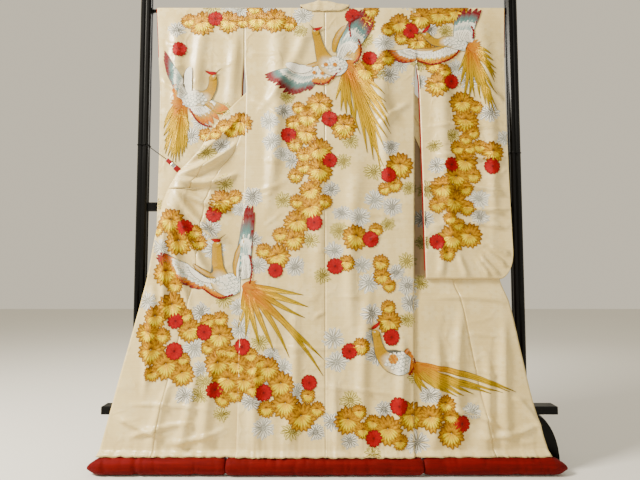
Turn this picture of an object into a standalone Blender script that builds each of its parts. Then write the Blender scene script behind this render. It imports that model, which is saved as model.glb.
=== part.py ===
"""An uchikake wedding kimono, seen from its back, hung on a lacquered kimono rack.

The garment hangs from a thin rod that runs from cuff to cuff. Its two fronts are swung out
from behind the back, so each one turns back on itself in a long upright fold behind the side
seam, and the padded hem lies on the floor. -X is the wearer's left side. +Y is behind the rack.
"""

import math

import bmesh
import bpy
from mathutils import Vector

# Rack.
ROD_HEIGHT = 1.698
ROD_RADIUS = 0.0065
POST_SPACING = 0.699
POST_SIZE = 0.039
POST_TOP = 1.800
PLANK_HALF_LENGTH = 0.822
PLANK_DEPTH = 0.060
PLANK_BOTTOM = 0.183
PLANK_TOP = 0.212
RAIL_BOTTOM = 0.922
RAIL_TOP = 0.955
RAIL_DEPTH = 0.024
LEG_WIDTH = 0.030

# Cloth. A wall is the outer silk, its padding of thin wadding and the lining together.
CLOTH = 0.002
GAP = 0.0003
LINING = 0.0012
ROD_WRAP = ROD_RADIUS + CLOTH / 2 + 0.003
LINING_INSET = (CLOTH + LINING) / 2 + 2 * GAP
CENTRE_SEAM = -0.015
NECK_HALF_WIDTH = 0.090
NECK_TOP = 1.692
HEM_TOP = 0.0642
HEM_LEAN = 0.088
SIDE_SEAM_TOP = 1.376
FRONT_WIDTH = 0.315
COLLAR_WIDTH = 0.075
COLLAR_NECK_HALF = 0.094
COLLAR_END = 1.000
OVERLAP_TOP = 1.440
SLEEVE_BOTTOM = 0.670
CUFF_END = 1.505
SLEEVE_LAYERS = 0.010
ROLL_RADIUS = 0.033
ROLL_TAPER = 0.062

# The clip that holds the left front out on a cord from the post.
CLIP_TOP = Vector((-0.6030, -0.0296, 1.1120))
CLIP_END = Vector((-0.5460, -0.0296, 1.0600))
LEFT_CORD_HEIGHT = 1.172
RIGHT_CORD_HEIGHT = 1.141
CORD_RADIUS = 0.0014

# Side edge of the back at each height.
SIDE_EDGE = (
    # height, wearer's left, wearer's right
    (1.698, -0.322, 0.328),
    (1.500, -0.320, 0.327),
    (1.376, -0.312, 0.322),
    (1.150, -0.312, 0.316),
    (0.600, -0.318, 0.302),
    (0.060, -0.323, 0.290),
)

# Each front: how far its free edge stands outside the side seam, and its whole width
# from the side seam over the front, the overlap panel and the collar.
FRONT_EDGE = (
    # height, reach on the left, reach on the right, width
    (1.698, -0.112, -0.112, 0.305),
    (1.560, -0.085, -0.085, 0.355),
    (1.460, -0.045, -0.045, 0.390),
    (1.376, 0.000, 0.000, 0.405),
    (1.320, 0.052, 0.045, 0.412),
    (1.235, 0.125, 0.105, 0.430),
    (1.140, 0.178, 0.165, 0.447),
    (1.070, 0.242, 0.205, 0.458),
    (0.940, 0.303, 0.265, 0.472),
    (0.810, 0.325, 0.300, 0.480),
    (0.670, 0.343, 0.315, 0.485),
    (0.590, 0.360, 0.344, 0.485),
    (0.416, 0.400, 0.382, 0.487),
    (0.240, 0.440, 0.420, 0.490),
    (0.060, 0.480, 0.473, 0.505),
)

# Sleeve edges at each height.
SLEEVE_EDGE = (
    # height, left inner, right inner, left outer, right outer
    (1.710, -0.3228, 0.3288, -0.658, 0.672),
    (1.510, -0.3214, 0.3282, -0.644, 0.664),
    (1.400, -0.3290, 0.3400, -0.640, 0.662),
    (1.100, -0.3310, 0.3440, -0.634, 0.662),
    (0.660, -0.3330, 0.3480, -0.632, 0.666),
)

# The padded hem: where each stretch starts and ends, and how far forward it lies.
HEM_STRETCHES = (
    # name, start, end, depth, start is a tip, end is a tip
    ("hem_roll_left", -0.826, -0.3555, -0.099, True, False),
    ("hem_roll_back", -0.3548, 0.3180, -0.103, False, False),
    ("hem_roll_right", 0.3187, 0.817, -0.099, False, True),
)

IVORY = (0.77, 0.70, 0.57)
CRIMSON = (0.45, 0.02, 0.03)
LACQUER = (0.012, 0.011, 0.012)
STEEL = (0.62, 0.62, 0.60)


def mix(a, b, share):
    return a + (b - a) * share


def smooth(low, high, value):
    """An eased 0 to 1 as value goes from low to high, which may run downwards."""
    share = min(1.0, max(0.0, (value - low) / (high - low)))
    return share * share * (3 - 2 * share)


def read_table(table, height, column):
    """The table's value at a height, in a straight line between its rows, which run downwards."""
    for upper, lower in zip(table, table[1:]):
        if height >= lower[0]:
            share = min(1.0, (upper[0] - height) / (upper[0] - lower[0]))
            return mix(upper[column], lower[column], share)
    return table[-1][column]


def side_column(side, left, right):
    return left if side < 0 else right


def make_material(name, color, roughness, metallic=0.0):
    material = bpy.data.materials.new(name)
    material.use_nodes = True
    shader = material.node_tree.nodes["Principled BSDF"]
    shader.inputs["Base Color"].default_value = (*color, 1.0)
    shader.inputs["Roughness"].default_value = roughness
    shader.inputs["Metallic"].default_value = metallic
    material.diffuse_color = (*color, 1.0)
    return material


def add_object(name, shape, color, roughness=0.6, metallic=0.0):
    """A named object from a bmesh, with a material of its own."""
    bmesh.ops.recalc_face_normals(shape, faces=shape.faces[:])
    mesh = bpy.data.meshes.new(name)
    shape.to_mesh(mesh)
    shape.free()
    mesh.materials.append(make_material(name + "_finish", color, roughness, metallic))
    made = bpy.data.objects.new(name, mesh)
    bpy.context.scene.collection.objects.link(made)
    return made


def grid_shape(rows, ring=False, left_out=None):
    """A surface through rows of points. ring joins the last row to the first."""
    shape = bmesh.new()
    grid = [[shape.verts.new(point) for point in row] for row in rows]
    count = len(grid) if ring else len(grid) - 1
    for i in range(count):
        upper, lower = grid[i], grid[(i + 1) % len(grid)]
        for j in range(len(upper) - 1):
            if left_out is None or not left_out(i, j):
                shape.faces.new((upper[j], upper[j + 1], lower[j + 1], lower[j]))
    loose = [vert for vert in shape.verts if not vert.link_faces]
    bmesh.ops.delete(shape, geom=loose, context="VERTS")
    return shape, grid


def add_cloth(name, shape, color, thickness=CLOTH):
    """The surface becomes a wall, half of its thickness to each side."""
    made = add_object(name, shape, color)
    wall = made.modifiers.new("wall", "SOLIDIFY")
    wall.thickness = thickness
    wall.offset = 0.0
    wall.use_even_offset = True
    return made


def bevelled(made, width, segments=2):
    bevel = made.modifiers.new("edges", "BEVEL")
    bevel.width = width
    bevel.segments = segments
    bevel.limit_method = "ANGLE"
    return made


def heights(top, bottom, count):
    return [mix(top, bottom, i / count) for i in range(count + 1)]


def shared_levels(top, bottom):
    """Levels from top to bottom that the fronts, overlap panels and collar share, so seams meet."""
    levels = {row[0] for row in FRONT_EDGE} | {1.630, OVERLAP_TOP, COLLAR_END, 0.740, 0.500, 0.330, 0.150}
    inner = [level for level in levels if bottom < level < top]
    return [top, *sorted(inner, reverse=True), bottom]


# Where the cloth hangs.


def side_edge(side, height):
    return read_table(SIDE_EDGE, height, side_column(side, 1, 2))


def back_depth(height):
    """The back leans forward, because the padded hem stands in front of the rod."""
    fall = min(1.0, max(0.0, (ROD_HEIGHT - height) / (ROD_HEIGHT - HEM_TOP)))
    return -ROD_WRAP - HEM_LEAN * fall**1.25


def fold_radius(side, height):
    """The right front's fold is wide where the sleeve hangs between it and the back."""
    if side < 0:
        return 0.0022
    return mix(0.0022, 0.0052, smooth(0.56, 0.66, height))


def front_layer(side, height):
    """Depth of the front where it lies behind the back, before it folds."""
    sewn = back_depth(height) + CLOTH + GAP + 0.0012
    return mix(sewn, ROD_WRAP, smooth(SIDE_SEAM_TOP - 0.02, ROD_HEIGHT, height))


def front_point(side, height, along):
    """A point of a front, its distance from the side seam measured along the cloth."""
    width = read_table(FRONT_EDGE, height, 3)
    reach = read_table(FRONT_EDGE, height, side_column(side, 1, 2))
    radius = fold_radius(side, height)
    turn = math.pi * radius
    fold = (width - reach - turn) / 2
    near = front_layer(side, height)
    if along <= fold:
        outward, depth = -along, near
    elif along < fold + turn:
        angle = (along - fold) / radius
        outward = -fold - radius * math.sin(angle)
        depth = near + radius * (1 - math.cos(angle))
    else:
        outward = along - turn - 2 * fold
        depth = near + 2 * radius
    seam = side_edge(side, height) - side * 0.0015
    return Vector((seam + side * outward, depth, height))


def fold_columns(side, height, end):
    """Distances along a front that follow its fold: the leg behind the back, the turn, the rest."""
    width = read_table(FRONT_EDGE, height, 3)
    reach = read_table(FRONT_EDGE, height, side_column(side, 1, 2))
    turn = math.pi * fold_radius(side, height)
    fold = (width - reach - turn) / 2
    behind = [fold * i / 3 for i in range(4)]
    turning = [fold + turn * i / 3 for i in (1, 2)]
    outside = [mix(fold + turn, end, i / 7) for i in range(8)]
    return behind + turning + outside


def collar_seam(height):
    """Distance along a front where the collar, or below it the free edge, begins."""
    width = read_table(FRONT_EDGE, height, 3)
    return width - COLLAR_WIDTH * (1 if height > COLLAR_END else 0)


def over_rod(row, side_of_rod, angle):
    """A row of the cloth at rod height, carried up and over the rod by an angle."""
    turned = []
    for point in row:
        radius = abs(point.y)
        depth = side_of_rod * radius * math.cos(angle)
        turned.append(Vector((point.x, depth, ROD_HEIGHT + radius * math.sin(angle))))
    return turned


CREST_ANGLES = [math.radians(angle) for angle in (36.0, 72.0)]

# The angles end just short of the crest, where the back and the front meet.
WRAP_ANGLES = [math.radians(angle) for angle in (86.5, 62.0, 32.0)]


def add_back(side, name):
    """Half of the back, from the centre seam to the side edge, with its half of the neck cut out."""
    middle = CENTRE_SEAM + side * GAP / 2

    def row(height):
        neck = CENTRE_SEAM + side * NECK_HALF_WIDTH
        edge = side_edge(side, height)
        shoulder = [mix(neck, edge, i / 4) for i in range(5)]
        places = [middle, mix(middle, neck, 0.5), *shoulder]
        return [Vector((x, back_depth(height), height)) for x in places]

    level = row(ROD_HEIGHT)
    rows = [over_rod(level, -1, angle) for angle in WRAP_ANGLES]
    rows += [level, *[row(height) for height in heights(NECK_TOP, HEM_TOP, 18)]]
    shape, _ = grid_shape(rows, left_out=lambda i, j: i < 4 and j < 2)
    return add_cloth(name, shape, IVORY)


def add_front(side, name):
    """One front, folded back behind the side seam, up to the seam with the overlap or the collar."""

    def row(height):
        end = min(FRONT_WIDTH, collar_seam(height)) - GAP / 2
        columns = fold_columns(side, height, end)
        return [front_point(side, height, along) for along in columns]

    level = row(ROD_HEIGHT)
    rows = [over_rod(level, 1, angle) for angle in WRAP_ANGLES]
    rows += [row(height) for height in shared_levels(ROD_HEIGHT, HEM_TOP)]
    # Only the leg next to the back goes over the rod. The part that is folded back hangs behind it.
    shape, _ = grid_shape(rows, left_out=lambda i, j: i < 3 and j > 2)
    return add_cloth(name, shape, IVORY)


def add_overlap(side, name):
    """The narrow panel sewn to a front's free edge. Its upper end runs out under the collar."""
    levels = shared_levels(OVERLAP_TOP, COLLAR_END + GAP)
    levels += shared_levels(COLLAR_END - GAP, HEM_TOP)
    rows = []
    for height in levels:
        end = collar_seam(height) - GAP / 2
        start = FRONT_WIDTH + GAP / 2
        rows.append([front_point(side, height, mix(start, end, i / 3)) for i in range(4)])
    shape, _ = grid_shape(rows)
    return add_cloth(name, shape, IVORY)


def add_collar_side(side, name):
    """The collar along one front, from the shoulder to its squared lower end."""
    rows = []
    for height in shared_levels(ROD_HEIGHT - GAP, COLLAR_END + GAP):
        start = collar_seam(height) + GAP / 2
        end = read_table(FRONT_EDGE, height, 3)
        rows.append([front_point(side, height, mix(start, end, i / 3)) for i in range(4)])
    shape, _ = grid_shape(rows)
    return add_cloth(name, shape, IVORY)


def add_collar_neck():
    """The collar round the back of the neck: a low roll outside, and the folded edge above it."""
    stations = 14
    rows = []
    for i in range(stations + 1):
        across = -1 + 2 * i / stations
        crown = (1 - across * across) ** 1.2
        x = CENTRE_SEAM + COLLAR_NECK_HALF * across
        outer = -ROD_WRAP - CLOTH - 0.0015
        inside = ROD_HEIGHT + 0.0128
        profile = [(outer - 0.002 * crown, inside + 0.0007 - 0.0195 * crown)]
        profile += [(outer - 0.003, inside + 0.003), (outer + 0.003, inside + 0.006 + 0.011 * crown)]
        profile += [(-0.004, inside + 0.003 + 0.008 * crown), (0.005, inside + 0.006 + 0.026 * crown)]
        profile += [(0.010, inside + 0.005 + 0.026 * crown), (0.014, inside + 0.002 + 0.010 * crown)]
        rows.append([Vector((x, depth, height)) for depth, height in profile])
    shape, _ = grid_shape(rows)
    return add_cloth("collar_neck", shape, IVORY)


def sleeve_layers(side, height):
    """Depths of a sleeve's two layers, the near one first. They part round the rod."""
    near = back_depth(height)
    if side < 0:
        # The left front lies over the lower part of this sleeve.
        near += 0.0155 * (1 - smooth(1.380, 1.500, height))
    apart = mix(SLEEVE_LAYERS, 2 * ROD_WRAP, smooth(1.420, ROD_HEIGHT, height) ** 1.2)
    return near, near + apart


def sleeve_bottom(side, x):
    """The lower edge, level as far as the rounded outer corner."""
    outer = read_table(SLEEVE_EDGE, SLEEVE_BOTTOM, side_column(side, 3, 4))
    start = outer - side * 0.052
    share = min(1.0, max(0.0, (x - start) / (outer - start)))
    return SLEEVE_BOTTOM + 0.100 * (1 - math.sqrt(1 - share * share * 0.999))


# Rows of a sleeve below the hand opening, as shares of the way up to it.
SLEEVE_STEPS = (0.0, 0.05, 0.14, 0.26, 0.38, 0.50, 0.62, 0.74, 0.82, 0.90, 0.95, 1.0)
COLUMN_SHARES = (0.0, 0.18, 0.36, 0.54, 0.70, 0.84, 0.91, 0.96, 0.988, 1.0)


def sleeve_columns(side, height):
    inner = read_table(SLEEVE_EDGE, height, side_column(side, 1, 2))
    outer = read_table(SLEEVE_EDGE, height, side_column(side, 3, 4))
    return [mix(inner, outer, share) for share in COLUMN_SHARES]


def add_sleeve(side, name):
    """A long sleeve: one length folded over the rod, closed below and up its outer side to the cuff."""
    lowest = [sleeve_bottom(side, x) for x in sleeve_columns(side, SLEEVE_BOTTOM)]

    def row(height_of, layer):
        points = []
        for column, low in enumerate(lowest):
            height = height_of(low)
            x = sleeve_columns(side, height)[column]
            points.append(Vector((x, sleeve_layers(side, height)[layer], height)))
        return points

    def layer_rows(layer):
        rows = [row(lambda low, s=step: mix(low + 0.004, CUFF_END, s), layer) for step in SLEEVE_STEPS]
        return rows + [row(lambda low, h=h: h, layer) for h in (1.560, 1.610, 1.660, ROD_HEIGHT)]

    near, far = layer_rows(0), layer_rows(1)
    near_top, far_top = near[-1], far[-1]
    crest = [over_rod(near_top, -1, angle) for angle in CREST_ANGLES]
    crest += [over_rod(far_top, 1, angle) for angle in CREST_ANGLES[::-1]]
    sole = []
    for front, rear in zip(near[0], far[0]):
        sole.append(front.lerp(rear, 0.5) - Vector((0.0, 0.0, 0.0035)))
    shape, grid = grid_shape([sole, *near, *crest, *far[::-1]], ring=True)
    near_side = [line[-1] for line in grid[: 1 + len(SLEEVE_STEPS)]]
    far_side = [grid[0][-1]] + [line[-1] for line in grid[-1 : -1 - len(SLEEVE_STEPS) : -1]]
    for i in range(len(SLEEVE_STEPS)):
        corners = [near_side[i], near_side[i + 1], far_side[i + 1], far_side[i]]
        shape.faces.new(list(dict.fromkeys(corners)))
    return add_cloth(name, shape, IVORY)


def add_cuff_lining(side, name):
    """The red lining at the hand opening, standing 3 mm out of the sleeve's end."""
    rows = []
    line = [(height, 0) for height in (CUFF_END + 0.002, 1.560, 1.610, 1.660, ROD_HEIGHT)]
    line += [(height, 1) for height in (ROD_HEIGHT, 1.660, 1.610, 1.560, CUFF_END + 0.002)]
    for height, layer in line:
        outer = read_table(SLEEVE_EDGE, height, side_column(side, 3, 4))
        depth = sleeve_layers(side, height)[layer] + (LINING_INSET if layer == 0 else -LINING_INSET)
        places = (outer - side * 0.022, outer + side * 0.003)
        rows.append([Vector((x, depth, height)) for x in places])
    over = [over_rod(rows[4], -1, math.radians(angle)) for angle in (45.0, 89.9)]
    over.append(over_rod(rows[5], 1, math.radians(45.0)))
    shape, _ = grid_shape(rows[:5] + over + rows[5:])
    return add_cloth(name, shape, CRIMSON, LINING)


def add_inner_lining(side, name):
    """The red lining at the sleeve's open inner side, a narrow strip round both layers' edges."""
    levels = [mix(SLEEVE_BOTTOM + 0.004, CUFF_END, step) for step in SLEEVE_STEPS[:0:-1]]
    rows = []
    for layer, line in ((0, levels), (1, levels[::-1])):
        for height in line:
            inner = read_table(SLEEVE_EDGE, height, side_column(side, 1, 2))
            depth = sleeve_layers(side, height)[layer] + (LINING_INSET if layer == 0 else -LINING_INSET)
            proud = mix(-0.0020, 0.0025, smooth(CUFF_END, 1.430, height))
            places = (inner - side * proud, inner + side * 0.016)
            rows.append([Vector((x, depth, height)) for x in places])
    shape, _ = grid_shape(rows)
    return add_cloth(name, shape, CRIMSON, LINING)


def add_hem_roll(name, start, end, depth, start_tip, end_tip):
    """A stretch of the padded hem: a round roll, drawn in at the seams and pointed at its tips."""
    length, sides = end - start, 12
    stations = (0.0, 0.012, 0.03, 0.06, 0.10, 0.18, 0.30, 0.42)
    places = [length * share for share in stations]
    places += [length - place for place in places[::-1]]
    shape = bmesh.new()
    rings = []
    for place in places:
        size = 1.0
        for distance, is_tip in ((place, start_tip), (length - place, end_tip)):
            if is_tip:
                size *= mix(0.16, 1.0, math.sin(0.5 * math.pi * min(1.0, distance / ROLL_TAPER)))
            else:
                size *= mix(0.86, 1.0, smooth(0.0, 0.030, distance))
        lift = mix(0.010, 0.0, smooth(0.16, 0.9, size))
        radius = ROLL_RADIUS * size
        ring = []
        for k in range(sides):
            angle = 2 * math.pi * (k + 0.5) / sides
            flat = math.cos(math.pi / sides)
            across = radius * math.sin(angle) * 1.06
            height = ROLL_RADIUS * flat * mix(1.0, size, 0.7) + lift + radius * math.cos(angle)
            ring.append(shape.verts.new((start + place, depth + across, max(0.0, height))))
        rings.append(ring)
    for one, two in zip(rings, rings[1:]):
        for k in range(sides):
            shape.faces.new((one[k], one[(k + 1) % sides], two[(k + 1) % sides], two[k]))
    shape.faces.new(rings[0])
    shape.faces.new(rings[-1])
    return add_object(name, shape, CRIMSON, 0.5)


# The rack.


def extrude_outline(outline, place, along):
    """A closed outline of points, carried along a vector. place turns (a, b) into a point."""
    shape = bmesh.new()
    face = shape.faces.new([shape.verts.new(place(a, b)) for a, b in outline])
    made = bmesh.ops.extrude_face_region(shape, geom=[face])["geom"]
    bmesh.ops.translate(shape, vec=along, verts=[g for g in made if isinstance(g, bmesh.types.BMVert)])
    return shape


def add_post(side, name):
    """A square post with cut corners and a shallow groove down each face."""
    half, corner, groove, deep = POST_SIZE / 2, 0.006, 0.005, 0.003
    quarter = [(half, -half + corner), (half, -groove), (half - deep, 0.0), (half, groove)]
    quarter.append((half, half - corner))
    outline = []
    for turn in range(4):
        c, s = round(math.cos(turn * math.pi / 2)), round(math.sin(turn * math.pi / 2))
        outline += [(a * c - b * s, a * s + b * c) for a, b in quarter]
    bottom = PLANK_TOP + GAP

    def place(a, b):
        return (side * POST_SPACING + a, b, bottom)

    shape = extrude_outline(outline, place, (0.0, 0.0, POST_TOP - bottom))
    return add_object(name, shape, LACQUER, 0.25)


def add_bar(name, low, high, edge=0.003):
    shape = bmesh.new()
    bmesh.ops.create_cube(shape, size=1.0)
    size = [b - a for a, b in zip(low, high)]
    middle = [(a + b) / 2 for a, b in zip(low, high)]
    bmesh.ops.scale(shape, vec=size, verts=shape.verts)
    bmesh.ops.translate(shape, vec=middle, verts=shape.verts)
    return bevelled(add_object(name, shape, LACQUER, 0.25), edge)


def add_rod():
    inner = POST_SPACING - POST_SIZE / 2 - 0.004 - 2 * GAP
    shape = bmesh.new()
    bmesh.ops.create_cone(
        shape, cap_ends=True, segments=16, radius1=ROD_RADIUS, radius2=ROD_RADIUS, depth=2 * inner
    )
    made = add_object("rod", shape, LACQUER, 0.3)
    made.rotation_euler = (0.0, math.pi / 2, 0.0)
    made.location = (0.0, 0.0, ROD_HEIGHT)
    return made


def add_rod_socket(side, name):
    """The round plate on a post's inner face that the rod's end sits against."""
    thick = 0.004
    shape = bmesh.new()
    bmesh.ops.create_cone(
        shape, cap_ends=True, segments=20, radius1=0.012, radius2=0.012, depth=thick
    )
    made = add_object(name, shape, LACQUER, 0.3)
    made.rotation_euler = (0.0, math.pi / 2, 0.0)
    made.location = (side * (POST_SPACING - POST_SIZE / 2 - GAP - thick / 2), 0.0, ROD_HEIGHT)
    return made


def add_leg(side, rear, name):
    """An arched leg from under the plank out to a flat toe."""
    toe = Vector((side * 0.112, 0.092 if rear else -0.026, 0.0))
    reach, top = toe.length, PLANK_BOTTOM - GAP
    outward = toe.normalized()
    across = Vector((-outward.y, outward.x, 0.0))
    base = Vector((side * 0.704, 0.0334 if rear else -0.011, 0.0))
    low, arc = 0.020, 8
    outer = [(reach, 0.0), (reach, low)]
    inner = [(reach - 0.034, 0.0), (reach - 0.036, low)]
    start = 0.030
    sweep = math.pi / 2 * 0.86
    climb = (top - low) / math.sin(sweep)
    for i in range(1, arc + 1):
        angle = sweep * i / arc
        outer.append((start + (reach - start) * math.cos(angle), low + climb * math.sin(angle)))
    outer[-1] = (outer[-1][0], top)
    for i in range(1, arc):
        angle = math.pi / 2 * i / arc
        inner.append(
            ((reach - 0.036) * math.cos(angle) - 0.012, low + (top - low - 0.040) * math.sin(angle))
        )
    inner.append((-0.010, top - 0.040))
    inner.append((-0.010, top))
    outline = outer + inner[::-1]

    def place(a, b):
        return base + outward * a - across * LEG_WIDTH / 2 + Vector((0.0, 0.0, b))

    shape = extrude_outline(outline, place, across * LEG_WIDTH)
    return add_object(name, shape, LACQUER, 0.25)


# The clip that holds the left front's edge out, and the cords tied round the posts.


def add_block(name, color, start, end, width, near, far, edge, metallic=0.0):
    """A block of the clip: from start to end along it, and between two depths from the cloth."""
    along = (CLIP_END - CLIP_TOP).normalized()
    across = Vector((-along.z, 0.0, along.x))
    shape = bmesh.new()
    bmesh.ops.create_cube(shape, size=1.0)
    for vert in shape.verts:
        place = CLIP_TOP + along * mix(start, end, vert.co.x + 0.5) + across * width * vert.co.z
        place.y += mix(near, far, vert.co.y + 0.5)
        vert.co = place
    made = add_object(name, shape, color, 0.35, metallic)
    return bevelled(made, edge)


def add_clip():
    lip = CLOTH / 2 + 0.0009
    add_block("clip_grip", CRIMSON, 0.000, 0.024, 0.015, -0.0050, 0.0045, 0.0020)
    add_block("clip_body", STEEL, 0.0243, 0.0417, 0.012, -0.0045, 0.0040, 0.0010, 1.0)
    add_block("clip_jaw_near", CRIMSON, 0.042, 0.077, 0.020, -lip - 0.0050, -lip, 0.0015)
    add_block("clip_jaw_far", CRIMSON, 0.042, 0.077, 0.020, lip, lip + 0.0032, 0.0012)


def add_cord(name, points, closed=False):
    """A cord: a line of points with a round section."""
    curve = bpy.data.curves.new(name, "CURVE")
    curve.dimensions = "3D"
    curve.bevel_depth = CORD_RADIUS
    curve.bevel_resolution = 2
    curve.use_fill_caps = not closed
    line = curve.splines.new("POLY")
    line.points.add(len(points) - 1)
    line.use_cyclic_u = closed
    for knot, point in zip(line.points, points):
        knot.co = (*point, 1.0)
    curve.materials.append(make_material(name + "_finish", LACQUER, 0.8))
    made = bpy.data.objects.new(name, curve)
    bpy.context.scene.collection.objects.link(made)
    return made


def add_post_cord(side, height, name):
    """A cord tied round a post, tight over its cut corners, and its knot in front."""
    half = POST_SIZE / 2 + CORD_RADIUS + GAP
    cut = 0.0075
    corners = []
    for turn in range(4):
        c, s = round(math.cos(turn * math.pi / 2)), round(math.sin(turn * math.pi / 2))
        for a, b in ((half, -half + cut), (half, half - cut)):
            corners.append((side * POST_SPACING + a * c - b * s, a * s + b * c, height))
    add_cord("post_cord_" + name, corners, closed=True)
    shape = bmesh.new()
    bmesh.ops.create_uvsphere(shape, u_segments=12, v_segments=8, radius=0.0042)
    made = add_object("post_knot_" + name, shape, LACQUER, 0.8)
    made.location = knot_place(side, height)


def knot_place(side, height):
    depth = -POST_SIZE / 2 - 2 * CORD_RADIUS - GAP - 0.0045
    return Vector((side * (POST_SPACING - 0.013), depth, height))


def main():
    for thing in list(bpy.data.objects):
        bpy.data.objects.remove(thing, do_unlink=True)
    for side, word in ((-1, "left"), (1, "right")):
        add_back(side, "back_" + word)
        add_front(side, "front_" + word)
        add_overlap(side, "overlap_" + word)
        add_collar_side(side, "collar_" + word)
        add_sleeve(side, "sleeve_" + word)
        add_cuff_lining(side, "cuff_lining_" + word)
        add_inner_lining(side, "sleeve_lining_" + word)
        add_post(side, "post_" + word)
        add_rod_socket(side, "rod_socket_" + word)
        add_leg(side, False, "leg_near_" + word)
        add_leg(side, True, "leg_far_" + word)
    add_collar_neck()
    add_clip()
    add_post_cord(-1, LEFT_CORD_HEIGHT, "left")
    add_post_cord(1, RIGHT_CORD_HEIGHT, "right")
    knot = knot_place(-1, LEFT_CORD_HEIGHT)
    pull = (CLIP_TOP - knot).normalized()
    add_cord("clip_cord", [knot + pull * 0.0046, CLIP_TOP - pull * 0.0006])
    for stretch in HEM_STRETCHES:
        add_hem_roll(*stretch)
    add_rod()
    span = POST_SPACING - POST_SIZE / 2 - GAP
    add_bar("mid_rail", (-span, -RAIL_DEPTH / 2, RAIL_BOTTOM), (span, RAIL_DEPTH / 2, RAIL_TOP))
    add_bar(
        "lower_plank",
        (-PLANK_HALF_LENGTH, -PLANK_DEPTH / 2, PLANK_BOTTOM),
        (PLANK_HALF_LENGTH, PLANK_DEPTH / 2, PLANK_TOP),
    )


main()
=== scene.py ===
"""An ivory silk wedding over-kimono hung from its back on a black lacquered rack.

Every panel is rebuilt as a thin lined sheet on its solid's form, with soft folds and creases laid
in it, then embroidered in gold, silk and silver thread. -X is the wearer's left side and +Y is
behind the rack.
"""

import math
import random

import bmesh
import bpy
import numpy as np
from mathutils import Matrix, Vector
from mathutils.bvhtree import BVHTree


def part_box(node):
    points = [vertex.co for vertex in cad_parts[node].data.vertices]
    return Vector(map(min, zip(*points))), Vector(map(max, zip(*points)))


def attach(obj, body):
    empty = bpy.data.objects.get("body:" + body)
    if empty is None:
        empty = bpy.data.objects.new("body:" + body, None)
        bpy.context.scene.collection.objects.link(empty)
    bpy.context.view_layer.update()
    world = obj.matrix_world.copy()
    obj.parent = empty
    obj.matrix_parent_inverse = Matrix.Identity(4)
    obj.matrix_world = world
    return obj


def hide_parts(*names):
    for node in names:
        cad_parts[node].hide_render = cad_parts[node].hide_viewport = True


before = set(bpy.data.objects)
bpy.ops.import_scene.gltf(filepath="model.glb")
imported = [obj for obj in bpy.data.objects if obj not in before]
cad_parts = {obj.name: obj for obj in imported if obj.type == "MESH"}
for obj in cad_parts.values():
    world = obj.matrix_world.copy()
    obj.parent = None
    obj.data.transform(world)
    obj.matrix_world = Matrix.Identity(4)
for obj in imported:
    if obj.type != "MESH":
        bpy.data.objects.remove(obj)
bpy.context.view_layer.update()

ROD_LOW, ROD_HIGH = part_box("rod")
ROD_HEIGHT = (ROD_LOW[2] + ROD_HIGH[2]) / 2
ROD_WRAP = (ROD_HIGH[2] - ROD_LOW[2]) / 2 + 0.004
CLOTH = 0.0018
LINING = 0.0011
GAP = 0.0003
LAYER = 0.002
CENTRE_SEAM = -0.015
NECK_HALF_WIDTH = 0.090
NECK_TOP = 1.692
HEM_TOP = 0.0642
HEM_LEAN = 0.088
SIDE_SEAM_TOP = 1.376
FRONT_WIDTH = 0.315
COLLAR_WIDTH = 0.075
COLLAR_NECK_HALF = 0.094
COLLAR_END = 1.000
OVERLAP_TOP = 1.440
SLEEVE_BOTTOM = 0.670
CUFF_END = 1.505
SLEEVE_LAYERS = 0.010
ROLL_RADIUS = 0.033
ROLL_TAPER = 0.062
FOLD_STRENGTH = 2.6
# How far a panel's lower edge comes forward over the hem.
HEM_LAP = 0.0205
# The most that the right sleeve's rear layer may swell, because the right front hangs behind it,
# and the swell of the free cloth at which it comes near that.
REAR_SWELL = 0.0012
REAR_REACH = 0.0048
SIDES = ((-1, "left"), (1, "right"))

# By side, the foot of the slit beside the sleeve. Then how far the collar's padding stands forward.
SLIT_FOOT = {-1: 1.340, 1: 0.655}
COLLAR_FULLNESS = 0.0042

SIDE_EDGE = (
    # height, wearer's left, wearer's right
    (1.698, -0.322, 0.328),
    (1.500, -0.320, 0.327),
    (1.376, -0.312, 0.322),
    (1.150, -0.312, 0.316),
    (0.600, -0.318, 0.302),
    (0.060, -0.323, 0.290),
)
FRONT_EDGE = (
    # height, how far the free edge stands outside the side seam on the left and right, width
    (1.698, -0.112, -0.112, 0.305),
    (1.560, -0.085, -0.085, 0.355),
    (1.460, -0.045, -0.045, 0.390),
    (1.376, 0.000, 0.000, 0.405),
    (1.320, 0.052, 0.045, 0.412),
    (1.235, 0.125, 0.105, 0.430),
    (1.140, 0.178, 0.165, 0.447),
    (1.070, 0.242, 0.205, 0.458),
    (0.940, 0.303, 0.265, 0.472),
    (0.810, 0.325, 0.300, 0.480),
    (0.670, 0.343, 0.315, 0.485),
    (0.590, 0.360, 0.344, 0.485),
    (0.416, 0.400, 0.382, 0.487),
    (0.240, 0.440, 0.420, 0.490),
    (0.060, 0.480, 0.473, 0.505),
)
SLEEVE_EDGE = (
    # height, left inner, right inner, left outer, right outer
    (1.710, -0.3228, 0.3288, -0.658, 0.672),
    (1.510, -0.3214, 0.3282, -0.644, 0.664),
    (1.400, -0.3290, 0.3400, -0.640, 0.662),
    (1.100, -0.3310, 0.3440, -0.634, 0.662),
    (0.660, -0.3330, 0.3480, -0.632, 0.666),
)
HEM_STRETCHES = (
    # name, start, end, depth, start is a tip, end is a tip
    ("hem_roll_left", -0.836, -0.3553, -0.099, True, False),
    ("hem_roll_back", -0.3548, 0.3180, -0.103, False, False),
    ("hem_roll_right", 0.3187, 0.817, -0.099, False, True),
)

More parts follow.
